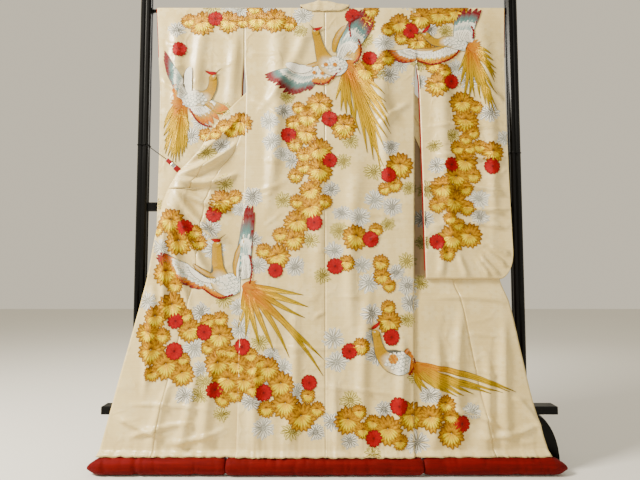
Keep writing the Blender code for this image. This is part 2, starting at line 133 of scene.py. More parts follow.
# Folds and creases: from a place to a place, how far it bows aside, its width and its height.
BACK_CREASES = (
    # x, height, x, height, bow, width, height of the fold
    (-0.300, 1.520, -0.175, 1.514, 0.002, 0.005, 0.0016),
    (-0.270, 0.432, 0.070, 0.424, -0.003, 0.006, 0.0018),
    (0.060, 0.426, 0.285, 0.418, 0.004, 0.005, 0.0014),
    (-0.040, 0.292, 0.240, 0.262, 0.006, 0.007, 0.0022),
    (-0.245, 0.070, -0.252, 0.400, 0.010, 0.020, 0.0050),
    (-0.140, 0.070, -0.120, 0.560, -0.012, 0.024, 0.0045),
    (0.040, 0.070, 0.020, 0.330, 0.006, 0.018, 0.0040),
    (0.120, 0.070, 0.150, 0.640, 0.014, 0.022, 0.0048),
    (0.232, 0.070, 0.262, 0.470, -0.008, 0.019, 0.0055),
    (-0.085, 1.640, -0.260, 1.300, 0.020, 0.022, 0.0040),
    (0.070, 1.650, 0.245, 1.250, -0.024, 0.024, 0.0042),
    (-0.205, 1.660, -0.235, 0.900, 0.018, 0.030, 0.0050),
    (0.205, 1.660, 0.215, 0.980, -0.016, 0.028, 0.0050),
    (-0.060, 1.200, -0.050, 0.620, 0.012, 0.030, 0.0035),
    (0.095, 1.080, 0.075, 0.480, -0.014, 0.026, 0.0038),
    (-0.300, 1.340, -0.180, 1.265, 0.008, 0.011, 0.0030),
    (0.300, 1.330, 0.190, 1.245, -0.008, 0.012, 0.0030),
    (-0.290, 0.980, -0.170, 1.010, 0.004, 0.009, 0.0018),
    (0.110, 0.905, 0.280, 0.880, 0.006, 0.008, 0.0018),
)
FRONT_CREASES_LEFT = (
    (-0.556, 1.052, -0.345, 1.170, -0.018, 0.013, 0.0075),
    (-0.560, 1.035, -0.340, 1.055, -0.024, 0.014, 0.0085),
    (-0.566, 1.022, -0.352, 0.930, -0.026, 0.015, 0.0090),
    (-0.574, 1.008, -0.372, 0.800, -0.024, 0.016, 0.0085),
    (-0.584, 0.995, -0.420, 0.665, -0.020, 0.018, 0.0080),
    (-0.596, 0.975, -0.500, 0.560, -0.014, 0.017, 0.0070),
    (-0.606, 0.930, -0.585, 0.470, -0.008, 0.015, 0.0060),
    (-0.520, 1.105, -0.340, 1.265, -0.010, 0.011, 0.0050),
    (-0.640, 0.640, -0.655, 0.260, 0.006, 0.016, 0.0050),
    (-0.700, 0.230, -0.420, 0.212, 0.006, 0.007, 0.0025),
    (-0.745, 0.190, -0.560, 0.128, -0.010, 0.009, 0.0042),
    (-0.690, 0.120, -0.480, 0.168, 0.010, 0.009, 0.0036),
    (-0.560, 0.100, -0.360, 0.150, -0.008, 0.010, 0.0038),
    (-0.430, 0.070, -0.395, 0.420, 0.010, 0.020, 0.0058),
    (-0.520, 0.070, -0.470, 0.360, -0.008, 0.017, 0.0050),
    (-0.610, 0.070, -0.560, 0.300, 0.010, 0.018, 0.0050),
)
FRONT_CREASES_RIGHT = (
    (0.380, 0.600, 0.640, 0.585, 0.010, 0.012, 0.0040),
    (0.360, 0.070, 0.385, 0.480, -0.012, 0.020, 0.0060),
    (0.452, 0.070, 0.478, 0.560, 0.012, 0.021, 0.0062),
    (0.540, 0.070, 0.560, 0.420, -0.010, 0.019, 0.0055),
    (0.618, 0.070, 0.628, 0.520, 0.006, 0.020, 0.0055),
    (0.480, 0.470, 0.620, 0.463, 0.003, 0.005, 0.0018),
    (0.482, 0.350, 0.622, 0.338, -0.003, 0.005, 0.0018),
    (0.480, 0.470, 0.484, 0.350, 0.002, 0.005, 0.0018),
    (0.400, 0.215, 0.620, 0.150, 0.012, 0.010, 0.0042),
    (0.520, 0.120, 0.730, 0.165, -0.012, 0.010, 0.0040),
    (0.640, 0.260, 0.745, 0.130, 0.008, 0.011, 0.0040),
)
SLEEVE_CREASES_RIGHT = (
    (0.372, 1.236, 0.640, 1.222, 0.008, 0.008, 0.0042),
    (0.395, 1.132, 0.655, 1.118, -0.010, 0.009, 0.0050),
    (0.360, 1.012, 0.640, 0.985, 0.010, 0.010, 0.0055),
    (0.375, 0.948, 0.655, 0.920, -0.010, 0.009, 0.0052),
    (0.430, 0.872, 0.655, 0.850, 0.008, 0.009, 0.0040),
    (0.430, 1.560, 0.450, 0.780, -0.020, 0.030, 0.0050),
    (0.570, 1.640, 0.590, 0.820, 0.016, 0.026, 0.0045),
    (0.540, 1.400, 0.655, 1.330, 0.008, 0.010, 0.0035),
    (0.360, 1.400, 0.480, 1.345, -0.008, 0.011, 0.0035),
    (0.655, 0.760, 0.575, 0.800, 0.004, 0.008, 0.0040),
    (0.640, 0.715, 0.560, 0.775, -0.004, 0.008, 0.0042),
    (0.612, 0.686, 0.545, 0.760, 0.004, 0.008, 0.0042),
    (0.575, 0.678, 0.530, 0.745, -0.004, 0.008, 0.0036),
    (0.500, 0.680, 0.470, 0.760, 0.004, 0.011, 0.0034),
    (0.400, 0.676, 0.410, 0.800, -0.006, 0.013, 0.0034),
)
SLEEVE_CREASES_LEFT = (
    (-0.360, 1.600, -0.420, 1.120, 0.012, 0.024, 0.0040),
    (-0.480, 1.660, -0.500, 1.180, -0.014, 0.026, 0.0045),
    (-0.590, 1.660, -0.585, 1.060, 0.010, 0.022, 0.0040),
    (-0.640, 1.300, -0.500, 1.250, 0.006, 0.009, 0.0030),
    (-0.640, 1.420, -0.540, 1.370, -0.006, 0.010, 0.0030),
    (-0.630, 0.780, -0.400, 0.760, 0.006, 0.010, 0.0030),
    (-0.625, 0.700, -0.560, 0.770, 0.004, 0.009, 0.0036),
    (-0.590, 0.680, -0.545, 0.760, -0.004, 0.009, 0.0036),
)


# Sizes and places.


def mix(a, b, share):
    return a + (b - a) * share


def smooth(low, high, value):
    """An eased 0 to 1 as value goes from low to high, which may run downwards."""
    share = np.clip((value - low) / (high - low), 0.0, 1.0)
    return share * share * (3 - 2 * share)


def curve_through(table, column):
    """A smooth curve of one column of a table against height, which never overshoots its rows."""
    height = np.array([row[0] for row in table])[::-1]
    value = np.array([row[column] for row in table])[::-1]
    run = np.diff(height)
    slope = np.diff(value) / run
    agree = slope[:-1] * slope[1:] > 1e-12
    total = np.where(agree, slope[:-1] + slope[1:], 1.0)
    inner = np.where(agree, 2 * slope[:-1] * slope[1:] / total, 0.0)
    tangent = np.concatenate([slope[:1], inner, slope[-1:]])

    def at(level):
        level = np.clip(level, height[0], height[-1])
        i = np.clip(np.searchsorted(height, level) - 1, 0, len(run) - 1)
        t = (level - height[i]) / run[i]
        ends = value[i] * (1 + 2 * t) * (1 - t) ** 2 + value[i + 1] * t * t * (3 - 2 * t)
        return ends + run[i] * t * (1 - t) * (tangent[i] * (1 - t) - tangent[i + 1] * t)

    return at


def by_side(table, left, right):
    return {-1: curve_through(table, left), 1: curve_through(table, right)}


SIDE_AT = by_side(SIDE_EDGE, 1, 2)
REACH_AT = by_side(FRONT_EDGE, 1, 2)
WIDTH_AT = curve_through(FRONT_EDGE, 3)
SLEEVE_INNER = by_side(SLEEVE_EDGE, 1, 2)
SLEEVE_OUTER = by_side(SLEEVE_EDGE, 3, 4)


def back_depth(height):
    """The back leans forward, because the padded hem stands in front of the rod."""
    fall = np.clip((ROD_HEIGHT - height) / (ROD_HEIGHT - HEM_TOP), 0.0, 1.0)
    return -ROD_WRAP - HEM_LEAN * fall**1.25


# Folds in the cloth.


def puckers(seed, left, right, low, high, number, lean):
    """Short uneven creases scattered over a part of the cloth, most of them near one lean."""
    rng = random.Random(seed)
    rows = []
    for _ in range(number):
        x, height = rng.uniform(left, right), rng.uniform(low, high)
        angle, length = rng.gauss(lean, 0.35), rng.uniform(0.03, 0.09)
        rows.append((x, height, x + length * math.cos(angle), height + length * math.sin(angle),
                     rng.uniform(-0.006, 0.006), rng.uniform(0.0045, 0.0085), rng.uniform(0.0006, 0.0014)))
    return tuple(rows)


BACK_CREASES += puckers(61, -0.29, 0.22, 0.10, 1.60, 44, 0.2)
FRONT_CREASES_LEFT += puckers(62, -0.74, -0.38, 0.09, 0.72, 30, -0.2)
FRONT_CREASES_RIGHT += puckers(63, 0.36, 0.66, 0.09, 0.55, 24, 0.2)
SLEEVE_CREASES_RIGHT += puckers(64, 0.350, 0.395, 0.76, 1.20, 15, 0.1)
SLEEVE_CREASES_RIGHT += puckers(65, 0.56, 0.61, 0.84, 1.30, 14, 0.1)
SLEEVE_CREASES_RIGHT += puckers(66, 0.37, 0.60, 0.72, 1.62, 16, 0.3)
SLEEVE_CREASES_LEFT += puckers(67, -0.62, -0.38, 1.12, 1.64, 20, -0.2)


def creases(table, x, height):
    """The height of all a piece's folds at each place. Each one dies out at its two ends."""
    total = np.zeros(np.broadcast(x, height).shape)
    for x0, z0, x1, z1, bow, width, rise in table:
        dx, dz = x1 - x0, z1 - z0
        length = math.hypot(dx, dz)
        along = ((x - x0) * dx + (height - z0) * dz) / length**2
        across = ((x - x0) * -dz + (height - z0) * dx) / length
        inside = np.clip(along, 0.0, 1.0)
        off = (across - 4 * bow * inside * (1 - inside)) / (width * (1.15 - 0.4 * inside))
        ends = smooth(-0.12, 0.22, along) * smooth(1.12, 0.70, along)
        total += rise * ends * np.exp(-off * off) * (1 + 0.55 * off)
    return FOLD_STRENGTH * total


def unevenness(seed, x, height):
    """Slow hollows and swellings of hanging cloth, longer down than across."""
    rng = random.Random(seed)
    total = np.zeros(np.broadcast(x, height).shape)
    for _ in range(7):
        across = 2 * math.pi / rng.uniform(0.11, 0.34)
        down = 2 * math.pi / rng.uniform(0.5, 1.6)
        lean = rng.uniform(0, 2 * math.pi)
        total += rng.uniform(0.2, 0.5) * np.sin(across * x + down * height + lean)
    return total * 0.0018


def hem_gathers(seed, x, height):
    """Small upright puckers where the cloth is eased on to the padded hem."""
    rng = random.Random(seed)
    total = np.zeros(np.broadcast(x, height).shape)
    for _ in range(5):
        period = rng.uniform(0.016, 0.046)
        reach = rng.uniform(0.022, 0.060)
        wave = np.sin(2 * math.pi * x / period + rng.uniform(0, 6.3))
        total += rng.uniform(0.25, 0.55) * wave * np.exp(-(height - HEM_TOP) / reach)
    return total * 0.0022


def lap_over_hem(grid, seed):
    """Eases the lowest part of a panel forward over the padded hem, to an uneven sewn edge."""
    rng = random.Random(seed)
    x, height = grid[..., 0], grid[..., 2].copy()
    wave = 0.0
    for _ in range(4):
        size, period, start = rng.uniform(0.3, 1.0), rng.uniform(0.022, 0.085), rng.uniform(0, 6.3)
        wave = wave + size * np.sin(2 * math.pi * x / period + start)
    turned = smooth(0.084, HEM_TOP, height)
    grid[..., 1] -= HEM_LAP * turned**1.5
    grid[..., 2] -= turned * (0.0012 + 0.0011 * wave)
    return grid


def outward_only(bulge):
    """Keeps a bulge on the near side, with a soft turn where it would sink."""
    return 0.5 * (bulge + np.sqrt(bulge * bulge + 4e-7))


def back_bulge(x, height):
    bulge = creases(BACK_CREASES, x, height) + unevenness(11, x, height)
    bulge = outward_only(bulge + hem_gathers(12, x, height) + 0.0008)
    edge = np.minimum(x - SIDE_AT[-1](height), SIDE_AT[1](height) - x)
    hold = smooth(0.0, 0.030, edge) + (1 - smooth(0.0, 0.030, edge)) * smooth(1.46, 1.36, height) * 0.6
    return bulge * hold * smooth(ROD_HEIGHT - 0.004, ROD_HEIGHT - 0.09, height)


def front_bulge(side, outward, x, height):
    """Folds of the part of a front that stands outside the side seam."""
    table = FRONT_CREASES_LEFT if side < 0 else FRONT_CREASES_RIGHT
    bulge = creases(table, x, height) + unevenness(20 + side, x, height)
    bulge = outward_only(bulge + hem_gathers(30 + side, x, height) + 0.0006)
    bulge = bulge * smooth(0.0, 0.05, outward)
    if side > 0:
        bulge = bulge * smooth(0.662, 0.585, height)
    return bulge


def sleeve_bulge(side, x, height, layer):
    table = SLEEVE_CREASES_LEFT if side < 0 else SLEEVE_CREASES_RIGHT
    bulge = creases(table, x, height + 0.03 * layer) + unevenness(40 + side + 5 * layer, x, height)
    bulge = outward_only(bulge + 0.0006)
    if side < 0 and layer == 0:
        covered = smooth(1.42, 1.30, height)
        bulge = bulge * mix(1.0, 0.42, covered)
    inner = side * (x - SLEEVE_INNER[side](height))
    sewn = smooth(1.43, 1.51, height)
    hold = mix(1.0, smooth(0.0, 0.030, inner), sewn)
    outer = side * (SLEEVE_OUTER[side](height) - x)
    hold = hold * mix(0.35, 1.0, smooth(0.0, 0.020, outer))
    return bulge * hold * smooth(ROD_HEIGHT - 0.004, ROD_HEIGHT - 0.08, height)


# Meshes.


def add_mesh(name, points, faces, facing=None):
    """A mesh object. facing is a face that has to look towards -Y, or else all are turned round."""
    mesh = bpy.data.meshes.new(name)
    mesh.from_pydata([tuple(point) for point in points], [], faces)
    mesh.update()
    if facing is not None and mesh.polygons[facing].normal.y > 0:
        mesh.flip_normals()
    mesh.shade_smooth()
    made = bpy.data.objects.new(name, mesh)
    bpy.context.scene.collection.objects.link(made)
    return made


def reshape(mesh, *changes):
    """Makes changes to a mesh through its editing form."""
    shape = bmesh.new()
    shape.from_mesh(mesh)
    for change in changes:
        change(shape)
    shape.to_mesh(mesh)
    shape.free()


def drop_loose_points(shape):
    bmesh.ops.delete(shape, geom=[v for v in shape.verts if not v.link_faces], context="VERTS")


def turn_to_viewer(shape):
    """Turns each face that looks behind the rack."""
    for face in shape.faces:
        if face.normal.y > 0:
            face.normal_flip()


def grid_faces(rows, columns, left_out=None, ring=False):
    faces = []
    for i in range(rows if ring else rows - 1):
        for j in range(columns - 1):
            if left_out is None or not left_out(i, j):
                a, b = i * columns + j, (i + 1) % rows * columns + j
                faces.append((a, a + 1, b + 1, b))
    return faces


def add_sheet(name, grid, outside, inside, facing, left_out=None, ring=False, extra=(), wall=CLOTH):
    """A lined sheet of cloth through a grid of points, half its thickness to each side."""
    rows, columns = grid.shape[:2]
    faces = grid_faces(rows, columns, left_out, ring) + list(extra)
    target = facing[0] * columns + facing[1]
    index = next(k for k, face in enumerate(faces) if face[0] == target)
    made = add_mesh(name, grid.reshape(-1, 3), faces, index)
    reshape(made.data, drop_loose_points)
    made.data.materials.append(outside)
    made.data.materials.append(inside)
    lined = made.modifiers.new("lined", "SOLIDIFY")
    lined.thickness = wall
    lined.offset = 0.0
    lined.use_even_offset = True
    lined.material_offset = 1
    lined.material_offset_rim = 0
    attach(made, "root")
    return made


def over_rod(row, side_of_rod, angle):
    """A row of the cloth at rod height, carried up and over the rod by an angle."""
    radius = np.abs(row[:, 1])
    depth = side_of_rod * radius * math.cos(angle)
    height = ROD_HEIGHT + radius * math.sin(angle)
    return np.stack([row[:, 0], depth, height], axis=1)


def levels(top, bottom, step, also=()):
    count = max(2, round((top - bottom) / step))
    made = {mix(top, bottom, i / count) for i in range(count + 1)}
    near = {level for level in made for fixed in also if abs(level - fixed) < 0.3 * step}
    return np.array(sorted((made - near) | set(also) | {top, bottom}, reverse=True))


WRAP_ANGLES = [math.radians(angle) for angle in (86.5, 72.0, 56.0, 40.0, 26.0, 12.0)]
STEP = 0.0062


def seam_dip(distance):
    """How far a sewn edge is drawn in, by its distance from the seam."""
    return 0.0009 * np.exp(-((np.abs(distance) / 0.0042) ** 2))


def add_back(side, word, silk, lining):
    """Half of the back, from the centre seam to the side edge, with its half of the neck cut out."""
    middle = CENTRE_SEAM + side * GAP / 2
    neck = CENTRE_SEAM + side * NECK_HALF_WIDTH
    inner = round(NECK_HALF_WIDTH / STEP)
    height = levels(ROD_HEIGHT, HEM_TOP, STEP, (NECK_TOP,))
    edge = SIDE_AT[side](height)[:, None]
    outer = round(0.23 / STEP)
    near_neck = np.linspace(middle, neck, inner + 1)[None, :-1] + 0 * edge
    x = np.concatenate([near_neck, neck + (edge - neck) * np.linspace(0, 1, outer + 1)], axis=1)
    tall = height[:, None] + 0 * x
    depth = back_depth(tall) - back_bulge(x, tall) + 0.4 * seam_dip(x - CENTRE_SEAM)
    grid = np.stack([x, depth, tall], axis=2)
    lap_over_hem(grid, 61 + side)
    crest = np.stack([over_rod(grid[0], -1, angle) for angle in WRAP_ANGLES])
    grid = np.concatenate([crest, grid])
    made = add_sheet("back_cloth_" + word, grid, silk, lining, (len(grid) // 2, inner + 2),
                     left_out=lambda i, j: i < len(WRAP_ANGLES) // 2 and j < inner)
    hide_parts("back_" + word)
    return made


def fold_radius(side, height):
    """The right front's fold is wide where the sleeve hangs between it and the back."""
    if side < 0:
        return 0.0022 + 0 * height
    return mix(0.0022, 0.0052, smooth(0.56, 0.66, height))


def front_grid(side, height, columns):
    """Points of a front. columns(height) gives distances from the side seam along the cloth."""
    width, reach, radius = WIDTH_AT(height), REACH_AT[side](height), fold_radius(side, height)
    turn = math.pi * radius
    fold = (width - reach - turn) / 2
    along = columns(fold, turn)
    fold, turn, radius = fold[:, None], turn[:, None], radius[:, None]
    tall = height[:, None] + 0 * along
    sewn = back_depth(tall) + LAYER + GAP + 0.0012
    near = mix(sewn, ROD_WRAP, smooth(SIDE_SEAM_TOP - 0.02, ROD_HEIGHT, tall))
    angle = np.clip((along - fold) / radius, 0.0, math.pi)
    straight = np.where(along < fold, along, 2 * fold + turn - np.maximum(along, fold + turn))
    straight = np.where((along >= fold) & (along < fold + turn), fold, straight)
    outward = -straight - radius * np.sin(angle)
    depth = near + radius * (1 - np.cos(angle))
    x = SIDE_AT[side](tall) - side * 0.0015 + side * outward
    standing = np.where(along > fold + turn, outward, -1.0)
    depth = depth - front_bulge(side, standing, x, tall)
    return lap_over_hem(np.stack([x, depth, tall], axis=2), 71 + side), along


def collar_seam(height):
    """Distance along a front where the collar, or below it the free edge, begins."""
    return WIDTH_AT(height) - np.where(height > COLLAR_END, COLLAR_WIDTH, 0.0)


def between(start, end, count):
    return mix(start, end, np.linspace(0, 1, count)[None, :])


def in_slit(side, x, height):
    """How deep in the dark slit between the back's side edge and the sleeve a place is, 0 to 1."""
    seam, sleeve = SIDE_AT[side](height), SLEEVE_INNER[side](height)
    between_edges = smooth(-0.001, 0.002, side * (x - seam)) * smooth(0.010, 0.004, side * (x - sleeve))
    foot = SLIT_FOOT[side]
    return between_edges * smooth(foot, foot + 0.035, height) * smooth(1.560, 1.500, height)


def mark_recess(made, side):
    """Records how deep in the slit each point is, as the mask of the shade painted into the cloth's colour
    there.
    """
    places = read_points(made.data)
    mark = made.data.attributes.new("painted_slit_shade", "FLOAT", "POINT")
    mark.data.foreach_set("value", in_slit(side, places[:, 0], places[:, 2]))


def add_front(side, word, silk, lining):
    """One front, folded back behind the side seam, up to the seam with the overlap or the collar."""
    height = levels(ROD_HEIGHT, HEM_TOP, STEP)
    end = (np.minimum(FRONT_WIDTH, collar_seam(height)) - GAP / 2)[:, None]

    def columns(fold, turn):
        fold, turn = fold[:, None], turn[:, None]
        parts = [between(0 * fold, fold, 16)[:, :-1], between(fold, fold + turn, 7)[:, :-1]]
        return np.concatenate(parts + [between(fold + turn, end, 34)], axis=1)

    grid, along = front_grid(side, height, columns)
    grid[:, :, 1] += np.where(along > 0.1, seam_dip(along - end), 0.0)
    crest = np.stack([over_rod(grid[0], 1, angle) for angle in WRAP_ANGLES])
    rows = np.concatenate([crest, grid])
    cut = len(WRAP_ANGLES)
    made = add_sheet("front_cloth_" + word, rows, silk, lining, (len(rows) - 20, 45),
                     left_out=lambda i, j: i < cut and j > 14)
    mark_recess(made, side)
    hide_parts("front_" + word)
    return made


def add_overlap(side, word, silk, lining):
    """The narrow panel sewn to a front's free edge. Its upper end runs out under the collar."""
    height = np.concatenate([levels(OVERLAP_TOP, COLLAR_END + GAP, STEP),
                             levels(COLLAR_END - GAP, HEM_TOP, STEP)])
    end = (collar_seam(height) - GAP / 2)[:, None]
    start = FRONT_WIDTH + GAP / 2 + 0 * end
    grid, along = front_grid(side, height, lambda fold, turn: between(start, end, 28))
    above = (height > COLLAR_END)[:, None]
    grid[:, :, 1] += seam_dip(along - start) + np.where(above, seam_dip(along - end), 0.0)
    made = add_sheet("overlap_cloth_" + word, grid, silk, lining, (len(grid) - 20, 14))
    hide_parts("overlap_" + word)
    return made


def add_collar_side(side, word, silk, lining):
    """The collar along one front, softly rounded, from the shoulder to its squared lower end."""
    height = levels(ROD_HEIGHT - GAP, COLLAR_END + GAP, STEP)
    start = (collar_seam(height) + GAP / 2)[:, None]
    end = WIDTH_AT(height)[:, None] + 0 * start
    grid, along = front_grid(side, height, lambda fold, turn: between(start, end, 14))
    share = (along - start) / COLLAR_WIDTH
    low = smooth(1.36, 1.20, height)[:, None]
    plump = COLLAR_FULLNESS * np.sin(math.pi * np.clip(share, 0, 1)) ** 0.6 * low
    grid[:, :, 1] += seam_dip(along - start) - plump
    made = add_sheet("collar_cloth_" + word, grid, silk, lining, (len(grid) - 8, 6))
    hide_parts("collar_" + word)
    return made


def add_collar_neck(silk, lining):
    """The collar round the back of the neck: a soft roll outside, and the folded edge above it."""
    stations = 49
    rng = random.Random(7)
    waves = [(rng.uniform(0.03, 0.08), rng.uniform(0, 6.3), rng.uniform(0.0003, 0.0008)) for _ in range(5)]
    rows = []
    for i in range(stations):
        across = -1 + 2 * i / (stations - 1)
        crown = (1 - across * across) ** 1.2
        tilt = crown * (1 - 0.30 * across)
        x = CENTRE_SEAM + COLLAR_NECK_HALF * across
        sway = crown * sum(size * math.sin(2 * math.pi * x / period + start) for period, start, size in waves)
        outer = -ROD_WRAP - LAYER - 0.0015
        inside = ROD_HEIGHT + 0.0128
        drop = 1 - (1 - crown) ** 3
        profile = [(outer - 0.002 * crown, inside + 0.0007 - 0.0205 * drop),
                   (outer - 0.004 - 0.002 * crown, inside + 0.002 - 0.0075 * drop),
                   (outer + 0.002, inside + 0.006 + 0.011 * crown), (-0.006, inside + 0.004 + 0.010 * crown),
                   (-0.001, inside + 0.003 + 0.005 * crown), (0.005, inside + 0.006 + 0.024 * tilt),
                   (0.009, inside + 0.006 + 0.027 * tilt), (0.013, inside + 0.002 + 0.010 * crown)]
        steps = np.linspace(0, len(profile) - 1, 34)
        depth = np.interp(steps, range(len(profile)), [p[0] for p in profile])
        height = np.interp(steps, range(len(profile)), [p[1] for p in profile])
        for _ in range(4):
            depth[1:-1] = (depth[:-2] + 2 * depth[1:-1] + depth[2:]) / 4
            height[1:-1] = (height[:-2] + 2 * height[1:-1] + height[2:]) / 4
        rows.append(np.stack([x + 0 * depth, depth - 0.6 * sway, height + sway], axis=1))
    made = add_sheet("collar_cloth_neck", np.array(rows), silk, lining, (24, 2))
    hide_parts("collar_neck")
    return made


def sleeve_depth(side, x, height, layer):
    near = back_depth(height)
    if side < 0:
        near = near + 0.0155 * (1 - smooth(1.380, 1.500, height))
    apart = mix(SLEEVE_LAYERS, 2 * ROD_WRAP, smooth(1.420, ROD_HEIGHT, height) ** 1.2)
    bulge = sleeve_bulge(side, x, height, layer)
    if layer == 0:
        return near - bulge
    return near + apart + (REAR_SWELL * np.tanh(bulge / REAR_REACH) if side > 0 else 0.6 * bulge)


def sleeve_bottom(side, x):
    """The lower edge, level as far as the rounded outer corner."""
    outer = SLEEVE_OUTER[side](SLEEVE_BOTTOM)
    start = outer - side * 0.052
    share = np.clip((x - start) / (outer - start), 0.0, 1.0)
    return SLEEVE_BOTTOM + 0.100 * (1 - np.sqrt(1 - share * share * 0.999))


SLEEVE_COLUMNS = np.concatenate([np.linspace(0, 0.80, 44)[:-1], 1 - 0.20 * np.linspace(1, 0, 18) ** 1.5])


def sleeve_x(side, height):
    inner, outer = SLEEVE_INNER[side](height), SLEEVE_OUTER[side](height)
    return mix(inner, outer, SLEEVE_COLUMNS)


def add_sleeve(side, word, silk, lining):
    """A long sleeve: one length folded over the rod, closed below and up its outer side to the cuff."""
    low = sleeve_bottom(side, sleeve_x(side, SLEEVE_BOTTOM)) + 0.004
    shares = np.concatenate([[0, 0.004, 0.012], np.linspace(0.02, 1, 132)])
    upper = np.linspace(CUFF_END, ROD_HEIGHT, 31)[1:]

    def layer_rows(layer):
        heights = [mix(low, CUFF_END, share) for share in shares] + [level + 0 * low for level in upper]
        rows = []
        for height in heights:
            x = sleeve_x(side, height)
            rows.append(np.stack([x, sleeve_depth(side, x, height, layer), height], axis=1))
        return rows

    near, far = layer_rows(0), layer_rows(1)
    around = [math.radians(angle) for angle in (15, 30, 45, 60, 75, 88)]
    crest = [over_rod(near[-1], -1, angle) for angle in around]
    crest += [over_rod(far[-1], 1, angle) for angle in around[::-1]]
    sole = mix(near[0], far[0], 0.5) - np.array([0.0, 0.0, 0.0035])
    grid = np.array([sole, *near, *crest, *far[::-1]])
    total, columns = grid.shape[:2]
    closed = len(shares)
    near_side = [i * columns + columns - 1 for i in range(1 + closed)]
    far_side = [columns - 1] + [(total - i) * columns + columns - 1 for i in range(1, closed + 1)]
    extra = []
    for i in range(closed):
        corners = (near_side[i], near_side[i + 1], far_side[i + 1], far_side[i])
        extra.append(tuple(dict.fromkeys(corners)))
    made = add_sheet("sleeve_cloth_" + word, grid, silk, lining, (60, 20), ring=True, extra=extra)
    reshape(made.data, lambda shape: bmesh.ops.recalc_face_normals(shape, faces=shape.faces[:]))
    if made.data.polygons[60 * (columns - 1) + 20].normal.y > 0:
        made.data.flip_normals()
    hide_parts("sleeve_" + word)
    return made


def add_strip(name, node, rows, crimson):
    made = add_sheet(name, np.array(rows), crimson, crimson, (2, 0), wall=LINING)
    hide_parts(node)
    return made


LINING_INSET = (LAYER + LINING) / 2 + 2 * GAP


def add_cuff_lining(side, word, crimson):
    """The red lining at the hand opening, standing 3 mm out of the sleeve's end."""
    heights = np.linspace(CUFF_END + 0.002, ROD_HEIGHT, 30)

    def row(height, layer, inset):
        outer = SLEEVE_OUTER[side](height)
        x = mix(outer - side * 0.022, outer + side * 0.0032, np.linspace(0, 1, 5))
        tall = height + 0 * x
        return np.stack([x, sleeve_depth(side, x, tall, layer) + inset, tall], axis=1)

    near = [row(height, 0, LINING_INSET) for height in heights]
    far = [row(height, 1, -LINING_INSET) for height in heights[::-1]]
    angles = [math.radians(angle) for angle in (18, 36, 54, 72)]
    over = [over_rod(near[-1], -1, angle) for angle in (*angles, math.radians(89.9))]
    over += [over_rod(far[0], 1, angle) for angle in angles[::-1]]
    return add_strip("cuff_band_" + word, "cuff_lining_" + word, near + over + far, crimson)


def add_inner_lining(side, word, crimson):
    """The red lining at the sleeve's open inner side, a narrow strip round both layers' edges."""
    heights = np.linspace(CUFF_END, SLEEVE_BOTTOM + 0.03, 130)

    def row(height, layer, inset):
        inner = SLEEVE_INNER[side](height)
        proud = mix(-0.0020, 0.0032, smooth(CUFF_END, 1.430, height))
        x = mix(inner - side * proud, inner + side * 0.016, np.linspace(0, 1, 5))
        tall = height + 0 * x
        return np.stack([x, sleeve_depth(side, x, tall, layer) + inset, tall], axis=1)

    near = [row(height, 0, LINING_INSET) for height in heights]
    far = [row(height, 1, -LINING_INSET) for height in heights[::-1]]
    return add_strip("sleeve_band_" + word, "sleeve_lining_" + word, near + far, crimson)


# The padded hem.


def roll_mesh(start, end, depth, start_tip, end_tip):
    """A round roll, drawn in at the seams and pointed at its tips."""
    length, around = end - start, 32
    count = round(length / 0.010)
    points = []
    for i in range(count + 1):
        place = length * i / count
        size = 1.0
        for distance, is_tip in ((place, start_tip), (length - place, end_tip)):
            if is_tip:
                size *= mix(0.16, 1.0, math.sin(0.5 * math.pi * min(1.0, (distance + 0.001) / ROLL_TAPER)))
            else:
                size *= mix(0.93, 1.0, float(smooth(0.0, 0.022, distance)))
        radius = (ROLL_RADIUS - 0.0020) * size
        middle = ROLL_RADIUS * mix(1.0, size, 0.7) - 0.001 + mix(0.010, 0.0, float(smooth(0.16, 0.9, size)))
        for k in range(around):
            angle = 2 * math.pi * k / around
            height = max(0.0006, middle + radius * math.cos(angle))
            points.append((start + place, depth + radius * math.sin(angle) * 1.06, height))
    faces = []
    for i in range(count):
        for k in range(around):
            one, two = i * around + k, i * around + (k + 1) % around
            faces.append((one, two, two + around, one + around))
    faces.append(tuple(range(around)))
    faces.append(tuple(range(count * around, (count + 1) * around)))
    return points, faces


def evaluated_copy(made):
    graph = bpy.context.evaluated_depsgraph_get()
    graph.update()
    return bpy.data.meshes.new_from_object(made.evaluated_get(graph))


def read_points(mesh):
    points = np.empty(len(mesh.vertices) * 3)
    mesh.vertices.foreach_get("co", points)
    return points.reshape(-1, 3)


def write_points(mesh, points):
    mesh.vertices.foreach_set("co", points.reshape(-1))
    mesh.update()


def fill_out(made, pressure=4.0, furthest=0.006):
    """Blows the padding up as cloth under pressure, and stops each point at a furthest distance."""
    before = read_points(made.data)
    puff = made.modifiers.new("puff", "CLOTH")
    puff.settings.quality = 5
    puff.settings.mass = 0.3
    puff.settings.tension_stiffness = 15
    puff.settings.use_pressure = True
    puff.settings.uniform_pressure_force = pressure
    puff.settings.effector_weights.gravity = 0.0
    puff.collision_settings.use_collision = False
    for number in range(1, 21):
        bpy.context.scene.frame_set(number)
    swollen = evaluated_copy(made)
    moved = read_points(swollen) - before
    far = np.linalg.norm(moved, axis=1, keepdims=True)
    moved *= np.minimum(1.0, furthest / np.maximum(far, 1e-9))
    made.modifiers.remove(puff)
    bpy.data.meshes.remove(swollen)
    write_points(made.data, before + moved)
    bpy.context.scene.frame_set(1)


